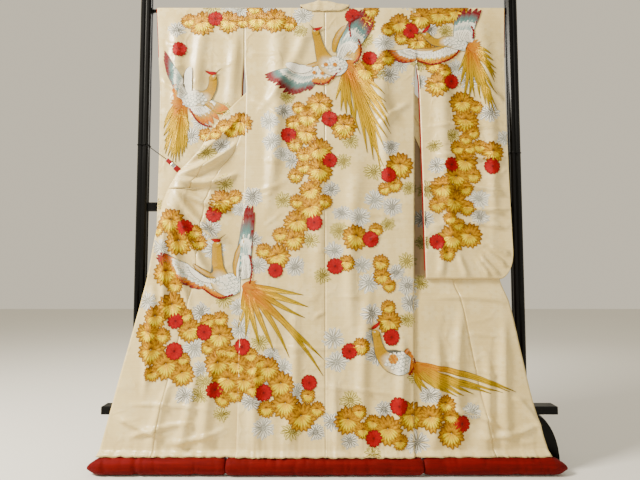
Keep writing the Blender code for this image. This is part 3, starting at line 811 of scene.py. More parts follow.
def add_hem_roll(name, start, end, depth, start_tip, end_tip, finish):
    made = add_mesh(name.replace("roll", "padding"), *roll_mesh(start, end, depth, start_tip, end_tip))
    remesh = made.modifiers.new("even", "REMESH")
    remesh.mode = "VOXEL"
    remesh.voxel_size = 0.006
    even = evaluated_copy(made)
    made.modifiers.remove(remesh)
    made.data = even
    fill_out(made)
    points = read_points(made.data)
    rng = random.Random(int(abs(start) * 1000))
    pucker = np.zeros(len(points))
    angle = np.arctan2(points[:, 1] - depth, points[:, 2] - ROLL_RADIUS)
    for _ in range(int((end - start) / 0.017)):
        place = rng.uniform(start + 0.02, end - 0.02)
        lean = rng.uniform(-0.35, 0.35)
        width = rng.uniform(0.0035, 0.0085)
        middle = rng.uniform(-2.6, 0.4)
        along = (points[:, 0] - place - lean * 0.02 * angle) / width
        pucker -= rng.uniform(0.0006, 0.0026) * np.exp(-along**2) * np.exp(-((angle - middle) / 0.9) ** 2)
    for seam, is_tip in ((start, start_tip), (end, end_tip)):
        if not is_tip:
            pucker -= 0.0022 * np.exp(-((points[:, 0] - seam) / 0.008) ** 2)
    inward = np.stack([0 * angle, np.sin(angle), np.cos(angle)], axis=1)
    points = points + inward * pucker[:, None]
    points[:, 2] = np.maximum(points[:, 2], 0.0004)
    write_points(made.data, points)
    made.data.materials.clear()
    made.data.materials.append(finish)
    made.data.shade_smooth()
    finer = made.modifiers.new("soft", "SUBSURF")
    finer.levels = finer.render_levels = 1
    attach(made, "root")
    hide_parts(name)
    return made


# Finishes.


def tint(red, green, blue):
    """A colour given in the usual 0 to 255 steps, as the linear one that a shader takes."""
    return tuple(((step / 255 + 0.055) / 1.055) ** 2.4 if step > 10 else step / 255 / 12.92
                 for step in (red, green, blue))


class Graph:
    """Adds nodes to a node tree. A value is a number, a colour or another node's output."""

    def __init__(self, tree):
        self.tree = tree

    def add(self, kind, settings=None, **inputs):
        made = self.tree.nodes.new(kind)
        for name, value in (settings or {}).items():
            setattr(made, name, value)
        for name, value in inputs.items():
            self.put(made.inputs[name.replace("_", " ")], value)
        return made

    def put(self, socket, value):
        if isinstance(value, bpy.types.NodeSocket):
            self.tree.links.new(value, socket)
        else:
            socket.default_value = (*value, 1.0) if socket.type == "RGBA" else value

    def math(self, operation, *values):
        made = self.tree.nodes.new("ShaderNodeMath")
        made.operation = operation
        for socket, value in zip(made.inputs, values):
            self.put(socket, value)
        return made.outputs[0]

    def step(self, value, low, high, start=0.0, end=1.0):
        made = self.tree.nodes.new("ShaderNodeMapRange")
        made.interpolation_type = "SMOOTHSTEP"
        for name, number in (("Value", value), ("From Min", low), ("From Max", high),
                             ("To Min", start), ("To Max", end)):
            self.put(made.inputs[name], number)
        return made.outputs[0]

    def blend(self, share, first, second, blend_type="MIX"):
        made = self.tree.nodes.new("ShaderNodeMix")
        made.data_type = "RGBA"
        made.blend_type = blend_type
        self.put(made.inputs[0], share)
        self.put(made.inputs[6], first)
        self.put(made.inputs[7], second)
        return made.outputs[2]

    def noise(self, scale, detail=3.0, roughness=0.5, vector=None, output="Fac"):
        made = self.add("ShaderNodeTexNoise", Scale=scale, Detail=detail, Roughness=roughness)
        if vector is not None:
            self.put(made.inputs["Vector"], vector)
        return made.outputs[output]

    def bump(self, height, strength, distance, normal=None):
        made = self.add("ShaderNodeBump", Height=height, Strength=strength, Distance=distance)
        if normal is not None:
            self.put(made.inputs["Normal"], normal)
        return made.outputs["Normal"]


def new_group(name, takes, gives):
    """A node group with named inputs and outputs, and the graph that fills it."""
    tree = bpy.data.node_groups.new(name, "ShaderNodeTree")
    kinds = {"value": "NodeSocketFloat", "colour": "NodeSocketColor", "vector": "NodeSocketVector"}
    for word, kind, usual in takes:
        socket = tree.interface.new_socket(word, in_out="INPUT", socket_type=kinds[kind])
        socket.default_value = (*usual, 1.0) if kind == "colour" else usual
    for word, kind in gives:
        tree.interface.new_socket(word, in_out="OUTPUT", socket_type=kinds[kind])
    graph = Graph(tree)
    return tree, graph, graph.add("NodeGroupInput").outputs, graph.add("NodeGroupOutput").inputs


def place_of(graph):
    """Where a point is on the whole object, in metres."""
    return graph.add("ShaderNodeTexCoord").outputs["Object"]


def stretched_place(graph, *scale):
    """The place on the object, drawn out so that a noise there runs in streaks."""
    made = graph.add("ShaderNodeMapping", Vector=place_of(graph))
    made.inputs["Scale"].default_value = scale
    return made.outputs[0]


def build_weave():
    """Warp and weft: a fine over and under, with slubs and a slow unevenness of tone."""
    tree, graph, takes, gives = new_group(
        "woven threads", [("Threads per metre", "value", 900.0), ("Slub", "value", 0.5)],
        [("Height", "value"), ("Tone", "value")])
    split = graph.add("ShaderNodeSeparateXYZ", Vector=place_of(graph)).outputs
    turn = graph.math("MULTIPLY", takes["Threads per metre"], 2 * math.pi)
    warp = graph.math("SINE", graph.math("MULTIPLY", split["X"], turn))
    weft = graph.math("SINE", graph.math("MULTIPLY", split["Z"], turn))
    threads = graph.math("ADD", graph.math("MULTIPLY", warp, 0.35), graph.math("MULTIPLY", weft, 0.15))
    slub = graph.noise(1.0, 2.0, 0.5, stretched_place(graph, 9.0, 9.0, 420.0))
    slub = graph.math("MULTIPLY", graph.math("SUBTRACT", slub, 0.5), takes["Slub"])
    graph.put(gives["Height"], graph.math("ADD", threads, slub))
    slow = graph.math("ADD", graph.noise(3.2, 4.0, 0.6), graph.math("MULTIPLY", slub, 0.6))
    graph.put(gives["Tone"], slow)
    return tree


def build_ground_figure():
    """The ground pattern woven into the silk: scattered open blossoms over a fine lattice."""
    tree, graph, takes, gives = new_group(
        "woven ground figure", [("Spacing", "value", 0.085)], [("Figure", "value")])
    flat = graph.add("ShaderNodeMapping", Vector=place_of(graph))
    flat.inputs["Rotation"].default_value = (math.pi / 2, 0.0, 0.0)
    scaled = graph.add("ShaderNodeVectorMath", {"operation": "DIVIDE"})
    graph.put(scaled.inputs[0], flat.outputs[0])
    graph.put(scaled.inputs[1], takes["Spacing"])
    cells = graph.add("ShaderNodeTexVoronoi", {"voronoi_dimensions": "2D"}, Scale=1.0, Randomness=0.45)
    graph.put(cells.inputs["Vector"], scaled.outputs[0])
    offset = graph.add("ShaderNodeVectorMath", {"operation": "SUBTRACT"})
    graph.put(offset.inputs[0], scaled.outputs[0])
    graph.put(offset.inputs[1], cells.outputs["Position"])
    apart = graph.add("ShaderNodeSeparateXYZ", Vector=offset.outputs[0]).outputs
    angle = graph.math("ARCTAN2", apart["Y"], apart["X"])
    radius = cells.outputs["Distance"]
    petals = graph.math("ABSOLUTE", graph.math("COSINE", graph.math("MULTIPLY", angle, 3.0)))
    reach = graph.math("MULTIPLY_ADD", petals, 0.17, 0.20)
    edge = graph.math("SUBTRACT", radius, reach)
    flower = graph.step(edge, 0.015, -0.015)
    vein = graph.step(graph.math("ABSOLUTE", graph.math("ADD", edge, 0.07)), 0.022, 0.008)
    heart = graph.step(radius, 0.075, 0.05)
    flower = graph.math("SUBTRACT", flower, graph.math("MULTIPLY", vein, 0.7))
    flower = graph.math("SUBTRACT", flower, heart)
    lattice = graph.add("ShaderNodeSeparateXYZ", Vector=scaled.outputs[0]).outputs
    one = graph.math("SINE", graph.math("MULTIPLY", graph.math("ADD", lattice["X"], lattice["Y"]), 26.0))
    two = graph.math("SINE", graph.math("MULTIPLY", graph.math("SUBTRACT", lattice["X"], lattice["Y"]), 26.0))
    net = graph.step(graph.math("MAXIMUM", one, two), 0.86, 0.97, 0.0, 0.35)
    away = graph.step(radius, 0.36, 0.42)
    figure = graph.math("MAXIMUM", flower, graph.math("MULTIPLY", net, away))
    graph.put(gives["Figure"], graph.math("MAXIMUM", figure, 0.0))
    return tree


def build_fine_creases():
    """Fine handling creases and puckers that are too small to be folds."""
    tree, graph, takes, gives = new_group("fine creases", [("Scale", "value", 14.0)], [("Height", "value")])
    bent = graph.noise(2.2, 3.0, 0.55, None, "Color")
    shift = graph.add("ShaderNodeVectorMath", {"operation": "MULTIPLY_ADD"})
    graph.put(shift.inputs[0], bent)
    shift.inputs[1].default_value = (0.12, 0.12, 0.22)
    graph.put(shift.inputs[2], place_of(graph))
    cells = graph.add("ShaderNodeTexVoronoi", {"feature": "DISTANCE_TO_EDGE"}, Vector=shift.outputs[0])
    graph.put(cells.inputs["Scale"], takes["Scale"])
    ridge = graph.step(cells.outputs["Distance"], 0.0, 0.14, 1.0, 0.0)
    patchy = graph.step(graph.noise(5.0, 2.0), 0.48, 0.66)
    graph.put(gives["Height"], graph.math("MULTIPLY", ridge, patchy))
    return tree


def build_stitches():
    """Rows of laid thread. They run the way that the work's own thread direction gives. Their tone is painted
    shade, darker in the hollows between rows, with a random unevenness over it.
    """
    tree, graph, takes, gives = new_group(
        "laid stitches", [("Threads per metre", "value", 1300.0)],
        [("Height", "value"), ("Tone", "value")])
    lay = graph.add("ShaderNodeAttribute", {"attribute_name": "thread"}).outputs["Vector"]
    split = graph.add("ShaderNodeSeparateXYZ", Vector=lay).outputs
    wander = graph.math("MULTIPLY", graph.noise(60.0, 2.0), 0.0016)
    run = graph.math("ADD", split["X"], wander)
    turn = graph.math("MULTIPLY", takes["Threads per metre"], 2 * math.pi)
    thread = graph.math("SINE", graph.math("MULTIPLY", run, turn))
    coarse = graph.math("SINE", graph.math("MULTIPLY", graph.math("MULTIPLY", run, turn), 0.31))
    height = graph.math("ADD", graph.math("MULTIPLY", thread, 0.5), graph.math("MULTIPLY", coarse, 0.5))
    graph.put(gives["Height"], height)
    # Painted shade: the tone is darker where the thread rows sink and lighter on their crowns, with random
    # noise over it.
    tone = graph.math("MULTIPLY_ADD", coarse, 0.22, graph.math("MULTIPLY_ADD", thread, 0.10, 0.68))
    graph.put(gives["Tone"], graph.math("MULTIPLY_ADD", graph.noise(130.0, 2.0), 0.30, tone))
    return tree


def build_handling():
    """Dust in the flat parts and the soft bright marks that handling leaves on a hard finish."""
    tree, graph, takes, gives = new_group(
        "handling marks", [("Amount", "value", 0.5)], [("Dust", "value"), ("Smear", "value")])
    specks = graph.step(graph.noise(420.0, 2.0, 0.6), 0.60, 0.72)
    patch = graph.step(graph.noise(7.0, 4.0, 0.6), 0.42, 0.68)
    up = graph.add("ShaderNodeSeparateXYZ", Vector=graph.add("ShaderNodeNewGeometry").outputs["Normal"])
    settle = graph.step(up.outputs["Z"], 0.2, 0.95, 0.25, 1.0)
    dust = graph.math("MULTIPLY", graph.math("MULTIPLY", specks, patch), settle)
    graph.put(gives["Dust"], graph.math("MULTIPLY", dust, takes["Amount"]))
    streaks = graph.noise(1.0, 5.0, 0.7, stretched_place(graph, 14.0, 14.0, 3.0))
    smear = graph.step(streaks, 0.40, 0.75)
    graph.put(gives["Smear"], graph.math("MULTIPLY", smear, takes["Amount"]))
    return tree


WEAVE = build_weave()
GROUND_FIGURE = build_ground_figure()
FINE_CREASES = build_fine_creases()
STITCHES = build_stitches()
HANDLING = build_handling()


def use_group(graph, tree, **inputs):
    made = graph.tree.nodes.new("ShaderNodeGroup")
    made.node_tree = tree
    for name, value in inputs.items():
        graph.put(made.inputs[name.replace("_", " ")], value)
    return made.outputs


def new_finish(name, **constants):
    """A material whose constant values sit on the shader itself, and the graph to add to it."""
    material = bpy.data.materials.new(name)
    material.use_nodes = True
    graph = Graph(material.node_tree)
    shader = material.node_tree.nodes["Principled BSDF"].inputs
    for word, value in constants.items():
        graph.put(shader[word.replace("_", " ")], value)
    return material, graph, shader


def ivory_silk():
    """Heavy ivory satin. Its woven figure is matt on the shining ground."""
    material, graph, shader = new_finish("ivory_silk", Sheen_Weight=0.06, Sheen_Roughness=0.45,
                                         Specular_IOR_Level=0.55)
    weave = use_group(graph, WEAVE, Threads_per_metre=850.0, Slub=0.6)
    figure = use_group(graph, GROUND_FIGURE, Spacing=0.082)["Figure"]
    creased = use_group(graph, FINE_CREASES, Scale=13.0)["Height"]
    tone = graph.step(weave["Tone"], 0.30, 0.75)
    ground = graph.blend(tone, tint(204, 181, 118), tint(224, 202, 142))
    ground = graph.blend(graph.math("MULTIPLY", figure, 0.30), ground, tint(228, 211, 162))
    # Painted shade: the colour darkens along the fine creases.
    ground = graph.blend(graph.math("MULTIPLY", creased, 0.16), ground, tint(176, 152, 102))
    # Painted shade: the cloth in the slit beside each sleeve is darkened to brown by this mask.
    painted_slit_shade = graph.add("ShaderNodeAttribute", {"attribute_name": "painted_slit_shade"}).outputs["Fac"]
    ground = graph.blend(graph.math("MULTIPLY", painted_slit_shade, 0.86), ground, tint(84, 54, 30))
    graph.put(shader["Base Color"], ground)
    graph.put(shader["Roughness"], graph.math("MULTIPLY_ADD", figure, 0.16, 0.33))
    fine = graph.bump(weave["Height"], 0.12, 0.0003)
    raised = graph.bump(figure, 0.22, 0.0004, fine)
    graph.put(shader["Normal"], graph.bump(creased, 0.42, 0.0026, raised))
    return material


def crimson_silk(name, dark, light, crease_scale):
    """Plain crimson silk, thinner and softer than the satin."""
    material, graph, shader = new_finish(name, Sheen_Weight=0.02, Sheen_Roughness=0.4,
                                         Specular_IOR_Level=0.07)
    weave = use_group(graph, WEAVE, Threads_per_metre=1100.0, Slub=0.4)
    creased = use_group(graph, FINE_CREASES, Scale=crease_scale)["Height"]
    colour = graph.blend(graph.step(weave["Tone"], 0.30, 0.75), dark, light)
    # Painted highlight: the colour lightens along the fine creases.
    colour = graph.blend(graph.math("MULTIPLY", creased, 0.18), colour, light)
    graph.put(shader["Base Color"], colour)
    graph.put(shader["Roughness"], graph.math("MULTIPLY_ADD", creased, -0.08, 0.72))
    fine = graph.bump(weave["Height"], 0.10, 0.0003)
    graph.put(shader["Normal"], graph.bump(creased, 0.22, 0.0016, fine))
    return material


def thread_finish(name, metallic, roughness, sheen, threads, depth):
    """Embroidery thread in the colours of the work, with painted shade along its own stitches."""
    material, graph, shader = new_finish(name, Metallic=metallic, Sheen_Weight=sheen,
                                         Sheen_Roughness=0.35, Specular_IOR_Level=0.14)
    colour = graph.add("ShaderNodeAttribute", {"attribute_name": "dye"}).outputs["Color"]
    stitch = use_group(graph, STITCHES, Threads_per_metre=threads)
    shade = graph.add("ShaderNodeHueSaturation", Color=colour, Value=stitch["Tone"], Saturation=1.12)
    graph.put(shader["Base Color"], shade.outputs["Color"])
    graph.put(shader["Roughness"], graph.math("MULTIPLY_ADD", stitch["Height"], 0.07, roughness))
    graph.put(shader["Normal"], graph.bump(stitch["Height"], 0.55, depth))
    return material


def lacquer(name, base, roughness):
    """Black lacquer over wood, with settled dust and rubbed patches."""
    material, graph, shader = new_finish(name, Coat_Weight=0.05, Coat_Roughness=0.20,
                                         Specular_IOR_Level=0.10)
    marks = use_group(graph, HANDLING, Amount=0.55)
    figure = graph.noise(3.0, 5.0, 0.6, stretched_place(graph, 6.0, 60.0, 6.0))
    colour = graph.blend(graph.step(figure, 0.35, 0.70), base, tuple(2.0 * part for part in base))
    colour = graph.blend(graph.math("MULTIPLY", marks["Dust"], 0.18), colour, tint(80, 72, 60))
    graph.put(shader["Base Color"], colour)
    graph.put(shader["Roughness"], graph.math("MULTIPLY_ADD", marks["Smear"], 0.22, roughness))
    graph.put(shader["Normal"], graph.bump(figure, 0.05, 0.0008))
    return material


def braided_cord():
    material, graph, shader = new_finish("black_braid", Sheen_Weight=0.02, Specular_IOR_Level=0.10)
    split = graph.add("ShaderNodeSeparateXYZ", Vector=place_of(graph)).outputs
    strands = (graph.math("ADD", split["X"], split["Z"]), graph.math("SUBTRACT", split["X"], split["Y"]))
    first, second = (graph.math("SINE", graph.math("MULTIPLY", strand, 3400.0)) for strand in strands)
    plait = graph.math("MULTIPLY", first, second)
    shade = graph.blend(graph.step(plait, -0.6, 0.8), tint(4, 4, 5), tint(15, 14, 16))
    graph.put(shader["Base Color"], shade)
    graph.put(shader["Roughness"], graph.math("MULTIPLY_ADD", plait, 0.08, 0.72))
    graph.put(shader["Normal"], graph.bump(plait, 0.6, 0.0005))
    return material


def clip_plastic():
    material, graph, shader = new_finish("clip_plastic", Specular_IOR_Level=0.25, Coat_Weight=0.1,
                                         Coat_Roughness=0.2)
    marks = use_group(graph, HANDLING, Amount=0.5)
    colour = graph.blend(graph.noise(30.0, 2.0), tint(96, 0, 3), tint(122, 2, 6))
    graph.put(shader["Base Color"], graph.blend(marks["Smear"], colour, tint(150, 24, 22)))
    graph.put(shader["Roughness"], graph.math("MULTIPLY_ADD", marks["Smear"], 0.20, 0.32))
    graph.put(shader["Normal"], graph.bump(graph.noise(900.0, 2.0), 0.12, 0.0002))
    return material


def clip_metal():
    material, graph, shader = new_finish("clip_metal", Metallic=1.0)
    marks = use_group(graph, HANDLING, Amount=0.6)
    lines = graph.noise(1.0, 2.0, 0.5, stretched_place(graph, 1600.0, 1600.0, 90.0))
    graph.put(shader["Base Color"], graph.blend(lines, tint(176, 176, 172), tint(214, 214, 210)))
    graph.put(shader["Roughness"], graph.math("MULTIPLY_ADD", marks["Smear"], 0.20, 0.26))
    graph.put(shader["Normal"], graph.bump(lines, 0.10, 0.0002))
    return material


def pale_floor():
    material, graph, shader = new_finish("pale_floor", Specular_IOR_Level=0.3)
    cloudy = graph.noise(0.9, 4.0, 0.6)
    shade = graph.blend(graph.step(cloudy, 0.3, 0.7), tint(214, 212, 205), tint(222, 220, 213))
    graph.put(shader["Base Color"], shade)
    graph.put(shader["Roughness"], graph.math("MULTIPLY_ADD", cloudy, 0.1, 0.62))
    return material


# The embroidery.

GOLD_DEEP = tint(98, 54, 0)
GOLD_OCHRE = tint(184, 124, 0)
GOLD_WARM = tint(216, 158, 0)
GOLD_BRIGHT = tint(246, 200, 8)
GOLD_PALE = tint(255, 236, 84)
RED = tint(150, 0, 2)
RED_LIGHT = tint(176, 0, 6)
MAROON = tint(70, 0, 6)
SILVER = tint(132, 134, 124)
SILVER_DARK = tint(88, 88, 80)
WHITE = tint(250, 246, 232)
OLIVE = tint(112, 98, 30)
OLIVE_DARK = tint(92, 78, 14)
OLIVE_GOLD = tint(160, 134, 8)
TEAL = tint(92, 128, 126)
TEAL_PALE = tint(176, 194, 190)
OCHRE = tint(176, 134, 24)
CRIMSON_TIP = tint(122, 0, 10)
ORANGE = tint(204, 112, 0)
TAN = tint(200, 172, 104)
PLUME_GOLD = tint(216, 172, 16)
INK = tint(34, 14, 12)
INK_SOFT = tint(96, 76, 56)
RUST = tint(138, 60, 0)
SPOT = tint(190, 112, 50)


# The highest step in the cloth that a stitch may cross, at a sewn seam and elsewhere.
SEWN_STEP = 0.0125
LOOSE_STEP = 0.0018
# How much painted shade darkens the thread at the bottom of the slit beside a sleeve.
SLIT_SHADE = 0.75


def through_tones(tones, shares):
    """Colours along a strip, blended between an even row of tones."""
    tones = np.array(tones)
    places = np.linspace(0, 1, len(tones))
    return np.stack([np.interp(shares, places, tones[:, part]) for part in range(3)], axis=1)


class Threadwork:
    """Stitched shapes drawn in the plane of the cloth, which are laid on it all together."""

    def __init__(self):
        self.points, self.dyes, self.threads, self.faces = [], [], [], []

    def even(self, line, widths, longest=0.0075):
        """The line with its long steps divided, so that the strip can follow the folds."""
        apart = np.linalg.norm(np.diff(line, axis=0), axis=1)
        times = max(1, math.ceil(float(apart.max()) / longest))
        old = np.arange(len(line))
        new = np.linspace(0, len(line) - 1, (len(line) - 1) * times + 1)
        line = np.stack([np.interp(new, old, line[:, part]) for part in (0, 1)], axis=1)
        return line, np.interp(new, old, widths)

    def strip(self, line, widths, middle, rim, lift, crown=0.0004, slant=1.0):
        """A strip along a line: a colour down its middle, one at its rims, and threads across it."""
        line, widths = self.even(np.asarray(line, float), np.asarray(widths, float))
        count = len(line)
        ahead = np.gradient(line, axis=0)
        ahead /= np.maximum(np.linalg.norm(ahead, axis=1, keepdims=True), 1e-9)
        aside = np.stack([-ahead[:, 1], ahead[:, 0]], axis=1)
        shares = np.linspace(0, 1, count)
        run = np.concatenate([[0], np.cumsum(np.linalg.norm(np.diff(line, axis=0), axis=1))])
        inner, outer = through_tones(middle, shares), through_tones(rim, shares)
        start = len(self.points)
        for i in range(count):
            for across, high in ((-1, 0.0), (0, crown), (1, 0.0)):
                place = line[i] + aside[i] * across * widths[i] / 2
                self.points.append((place[0], place[1], lift + high))
                self.dyes.append(inner[i] if across == 0 else outer[i])
                self.threads.append((run[i] * slant + abs(across) * widths[i] / 2, run[i], across))
        for i in range(count - 1):
            a = start + 3 * i
            self.faces += [(a, a + 1, a + 4, a + 3), (a + 1, a + 2, a + 5, a + 4)]

    def lay(self, name, cloth, finish, slot):
        """Lays the work on the cloth. A stitch that would bridge a slit or a step is left out."""
        places, hit = [], []
        for x, height, lift in self.points:
            touch = cloth.ray_cast(Vector((x, -1.0, height)), Vector((0.0, 1.0, 0.0)))[0]
            hit.append(touch is not None)
            places.append((x, (touch.y if touch else 0.0) - lift, height))
        places, hit, faces = np.array(places), np.array(hit), np.array(self.faces)
        corners = places[faces]
        rise = np.ptp(corners[:, :, 1], axis=1)
        flat = np.linalg.norm(np.ptp(corners[:, :, (0, 2)], axis=1), axis=1)
        x, height = corners[:, :, 0].mean(axis=1), corners[:, :, 2].mean(axis=1)
        seam = np.where(x < 0, SIDE_AT[-1](height), SIDE_AT[1](height))
        lowest = np.where(x < 0, SIDE_SEAM_TOP, SLEEVE_BOTTOM)
        sewn = (abs(x - seam) < 0.014) & (height < lowest - 0.01)
        kept = hit[faces].all(axis=1) & (rise < np.where(sewn, SEWN_STEP, LOOSE_STEP + 0.8 * flat))
        faces = [tuple(face) for face in faces[kept].tolist()]
        made = add_mesh(name, places, faces)
        # Painted shade: thread that lies in the slit beside a sleeve is darkened in its colour.
        shaded = sum(in_slit(side, places[:, 0], places[:, 2]) for side in (-1, 1))
        dyes = np.array(self.dyes) * (1 - SLIT_SHADE * shaded[:, None])
        dye = made.data.attributes.new("dye", "FLOAT_COLOR", "POINT")
        dye.data.foreach_set("color", np.c_[dyes, np.ones(len(dyes))].reshape(-1))
        thread = made.data.attributes.new("thread", "FLOAT_VECTOR", "POINT")
        thread.data.foreach_set("vector", np.array(self.threads, float).reshape(-1))
        reshape(made.data, drop_loose_points, turn_to_viewer)
        made.data.materials.append(finish)
        made.data.shade_smooth()
        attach(made, "root")
        return made


def curve_line(start, end, bow, count=7):
    """A line from start to end that bows to its left by a share of its length."""
    start, end = np.array(start, float), np.array(end, float)
    t = np.linspace(0, 1, count)[:, None]
    aside = np.array([-(end - start)[1], (end - start)[0]])
    return start + (end - start) * t + aside * bow * 4 * t * (1 - t)


def along_points(points, share):
    """A point at a share of the way along a smooth run of points."""
    points = np.array(points, float)
    place = share * (len(points) - 1)
    i = min(int(place), len(points) - 2)
    t = place - i
    before = points[max(i - 1, 0)]
    after = points[min(i + 2, len(points) - 1)]
    one, two = points[i], points[i + 1]
    return 0.5 * (2 * one + (two - before) * t + (2 * before - 5 * one + 4 * two - after) * t * t
                  + (3 * one - before - 3 * two + after) * t**3)


def widths_of(shape, width):
    return np.array(shape) * width


PETAL = (0.34, 0.70, 0.95, 1.0, 0.74, 0.16)
LEAF = (0.20, 0.72, 1.0, 0.86, 0.52, 0.08)


def petal(work, rng, x, height, angle, inner, outer, width, middle, rim, lift, shape=PETAL):
    start = (x + inner * math.cos(angle), height + inner * math.sin(angle))
    end = (x + outer * math.cos(angle), height + outer * math.sin(angle))
    line = curve_line(start, end, rng.uniform(-0.05, 0.05), len(shape))
    work.strip(line, widths_of(shape, width), middle, rim, lift, 0.0005)


def gold_flower(work, rng, x, height, across, lift):
    """A chrysanthemum in gold thread: dull rays all round, and a bright fan over them."""
    radius = across / 2
    turn = rng.uniform(0, 6.3)
    face = -math.pi / 2 + rng.uniform(-0.35, 0.35)
    deep, ochre, bright = np.array(GOLD_DEEP), np.array(GOLD_OCHRE), np.array(GOLD_BRIGHT)
    for ring, (count, inner, outer, wide) in enumerate(((17, 0.30, 1.0, 0.36), (13, 0.20, 0.78, 0.34))):
        for k in range(count):
            angle = turn + ring * 0.2 + 2 * math.pi * (k + rng.uniform(-0.12, 0.12)) / count
            lit = 0.5 + 0.5 * math.cos(angle - face)
            glow = lit * 0.45 + 0.20 * rng.random() + 0.08 * ring
            base = mix(deep, ochre, 0.1 + 0.5 * lit)
            tip = mix(ochre, bright, min(1.0, glow))
            rim = mix(deep, ochre, 0.10 + 0.35 * lit)
            long = outer * rng.uniform(0.92, 1.05) * radius
            petal(work, rng, x, height, angle, inner * radius, long, wide * radius,
                  (base, tip, tip, base), (GOLD_DEEP, mix(deep, rim, 0.35), GOLD_DEEP), lift + 0.00020 * ring)
    middle = (x + 0.14 * radius * math.cos(face + math.pi), height + 0.14 * radius * math.sin(face + math.pi))
    for k in (0, 8, 1, 7, 2, 6, 3, 5, 4):
        angle = face + (k - 4) * 0.27 + rng.uniform(-0.03, 0.03)
        long = radius * (0.84 - 0.04 * abs(k - 4)) * rng.uniform(0.94, 1.05)
        petal(work, rng, *middle, angle, 0.08 * radius, long, 0.27 * radius,
              (GOLD_WARM, GOLD_BRIGHT, GOLD_PALE, GOLD_PALE), (GOLD_DEEP, GOLD_OCHRE, GOLD_DEEP),
              lift + 0.0005 + 0.00006 * (4 - abs(k - 4)))
    for k in range(7):
        angle = face + math.pi + (k - 3) * 0.42
        petal(work, rng, *middle, angle, 0.02 * radius, 0.36 * radius, 0.22 * radius,
              (GOLD_DEEP, GOLD_WARM), (GOLD_DEEP, GOLD_OCHRE), lift + 0.0007)


def red_flower(work, rng, x, height, across, lift):
    """A flat red blossom with notched maroon petal ends."""
    radius, turn, count = across / 2, rng.uniform(0, 6.3), rng.choice((12, 13, 14))
    for k in range(count):
        angle = turn + 2 * math.pi * k / count
        shape = (0.25, 0.62, 0.92, 1.0, 0.95, 0.55)
        petal(work, rng, x, height, angle, 0.04 * radius, radius * rng.uniform(0.95, 1.03), 0.47 * radius,
              (RED, RED, RED_LIGHT, RED), (MAROON, RED, RED, MAROON), lift + 0.00012 * (k % 2), shape)
    for k in range(8):
        angle = turn + 2 * math.pi * k / 8
        petal(work, rng, x, height, angle, 0.0, 0.30 * radius, 0.24 * radius,
              (MAROON, RED_LIGHT), (MAROON, RED), lift + 0.0004)


def open_flower(work, rng, x, height, across, lift, line_tone, fill_tone):
    """An airy blossom: each narrow petal is a pale leaf with a drawn outline."""
    radius, turn, count = across / 2, rng.uniform(0, 6.3), rng.choice((13, 14, 15, 16))
    squash = rng.uniform(0.80, 1.0)
    for k in range(count):
        angle = turn + 2 * math.pi * (k + rng.uniform(-0.15, 0.15)) / count
        long = radius * rng.uniform(0.78, 1.08)
        start = np.array((x, height)) + 0.16 * radius * np.array((math.cos(angle), squash * math.sin(angle)))
        end = np.array((x, height)) + long * np.array((math.cos(angle), squash * math.sin(angle)))
        bow = rng.uniform(-0.09, 0.09)
        line = curve_line(start, end, bow, 6)
        work.strip(line, widths_of((0.3, 0.7, 0.9, 1.0, 0.95, 0.4), 0.30 * radius),
                   (fill_tone, fill_tone), (line_tone, fill_tone), lift, 0.0002)
        for hand in (-1, 1):
            side_line = curve_line(start, end, bow + hand * 0.12, 6)
            work.strip(side_line, widths_of((0.7, 1, 1, 1, 1, 0.5), 0.0016),
                       (line_tone, line_tone), (line_tone, line_tone), lift + 0.0002, 0.0002)
    for k in range(5):
        angle = turn + 2 * math.pi * k / 5
        petal(work, rng, x, height, angle, 0.0, 0.18 * radius, 0.16 * radius,
              (line_tone, fill_tone), (line_tone, line_tone), lift + 0.0003)


# Where the red blossoms stand among the garlands.
RED_PLACES = (
    (-0.43, 1.66), (-0.57, 1.54), (0.09, 1.67), (0.31, 1.61), (0.15, 1.50), (-0.00, 1.27),
    (-0.15, 1.20), (-0.00, 1.11), (-0.06, 0.87), (-0.20, 0.70), (0.22, 1.05), (0.15, 0.81),
    (0.02, 0.72), (0.46, 1.41), (0.45, 1.09), (0.60, 1.08), (0.39, 0.80), (0.22, 0.46), (0.07, 0.42),
    (-0.42, 0.91), (-0.53, 0.86), (-0.55, 0.52), (-0.45, 0.48), (-0.55, 0.41), (-0.31, 0.43),
    (-0.40, 0.28), (-0.23, 0.27), (-0.07, 0.31), (0.15, 0.12), (0.24, 0.23), (0.46, 0.17),
)

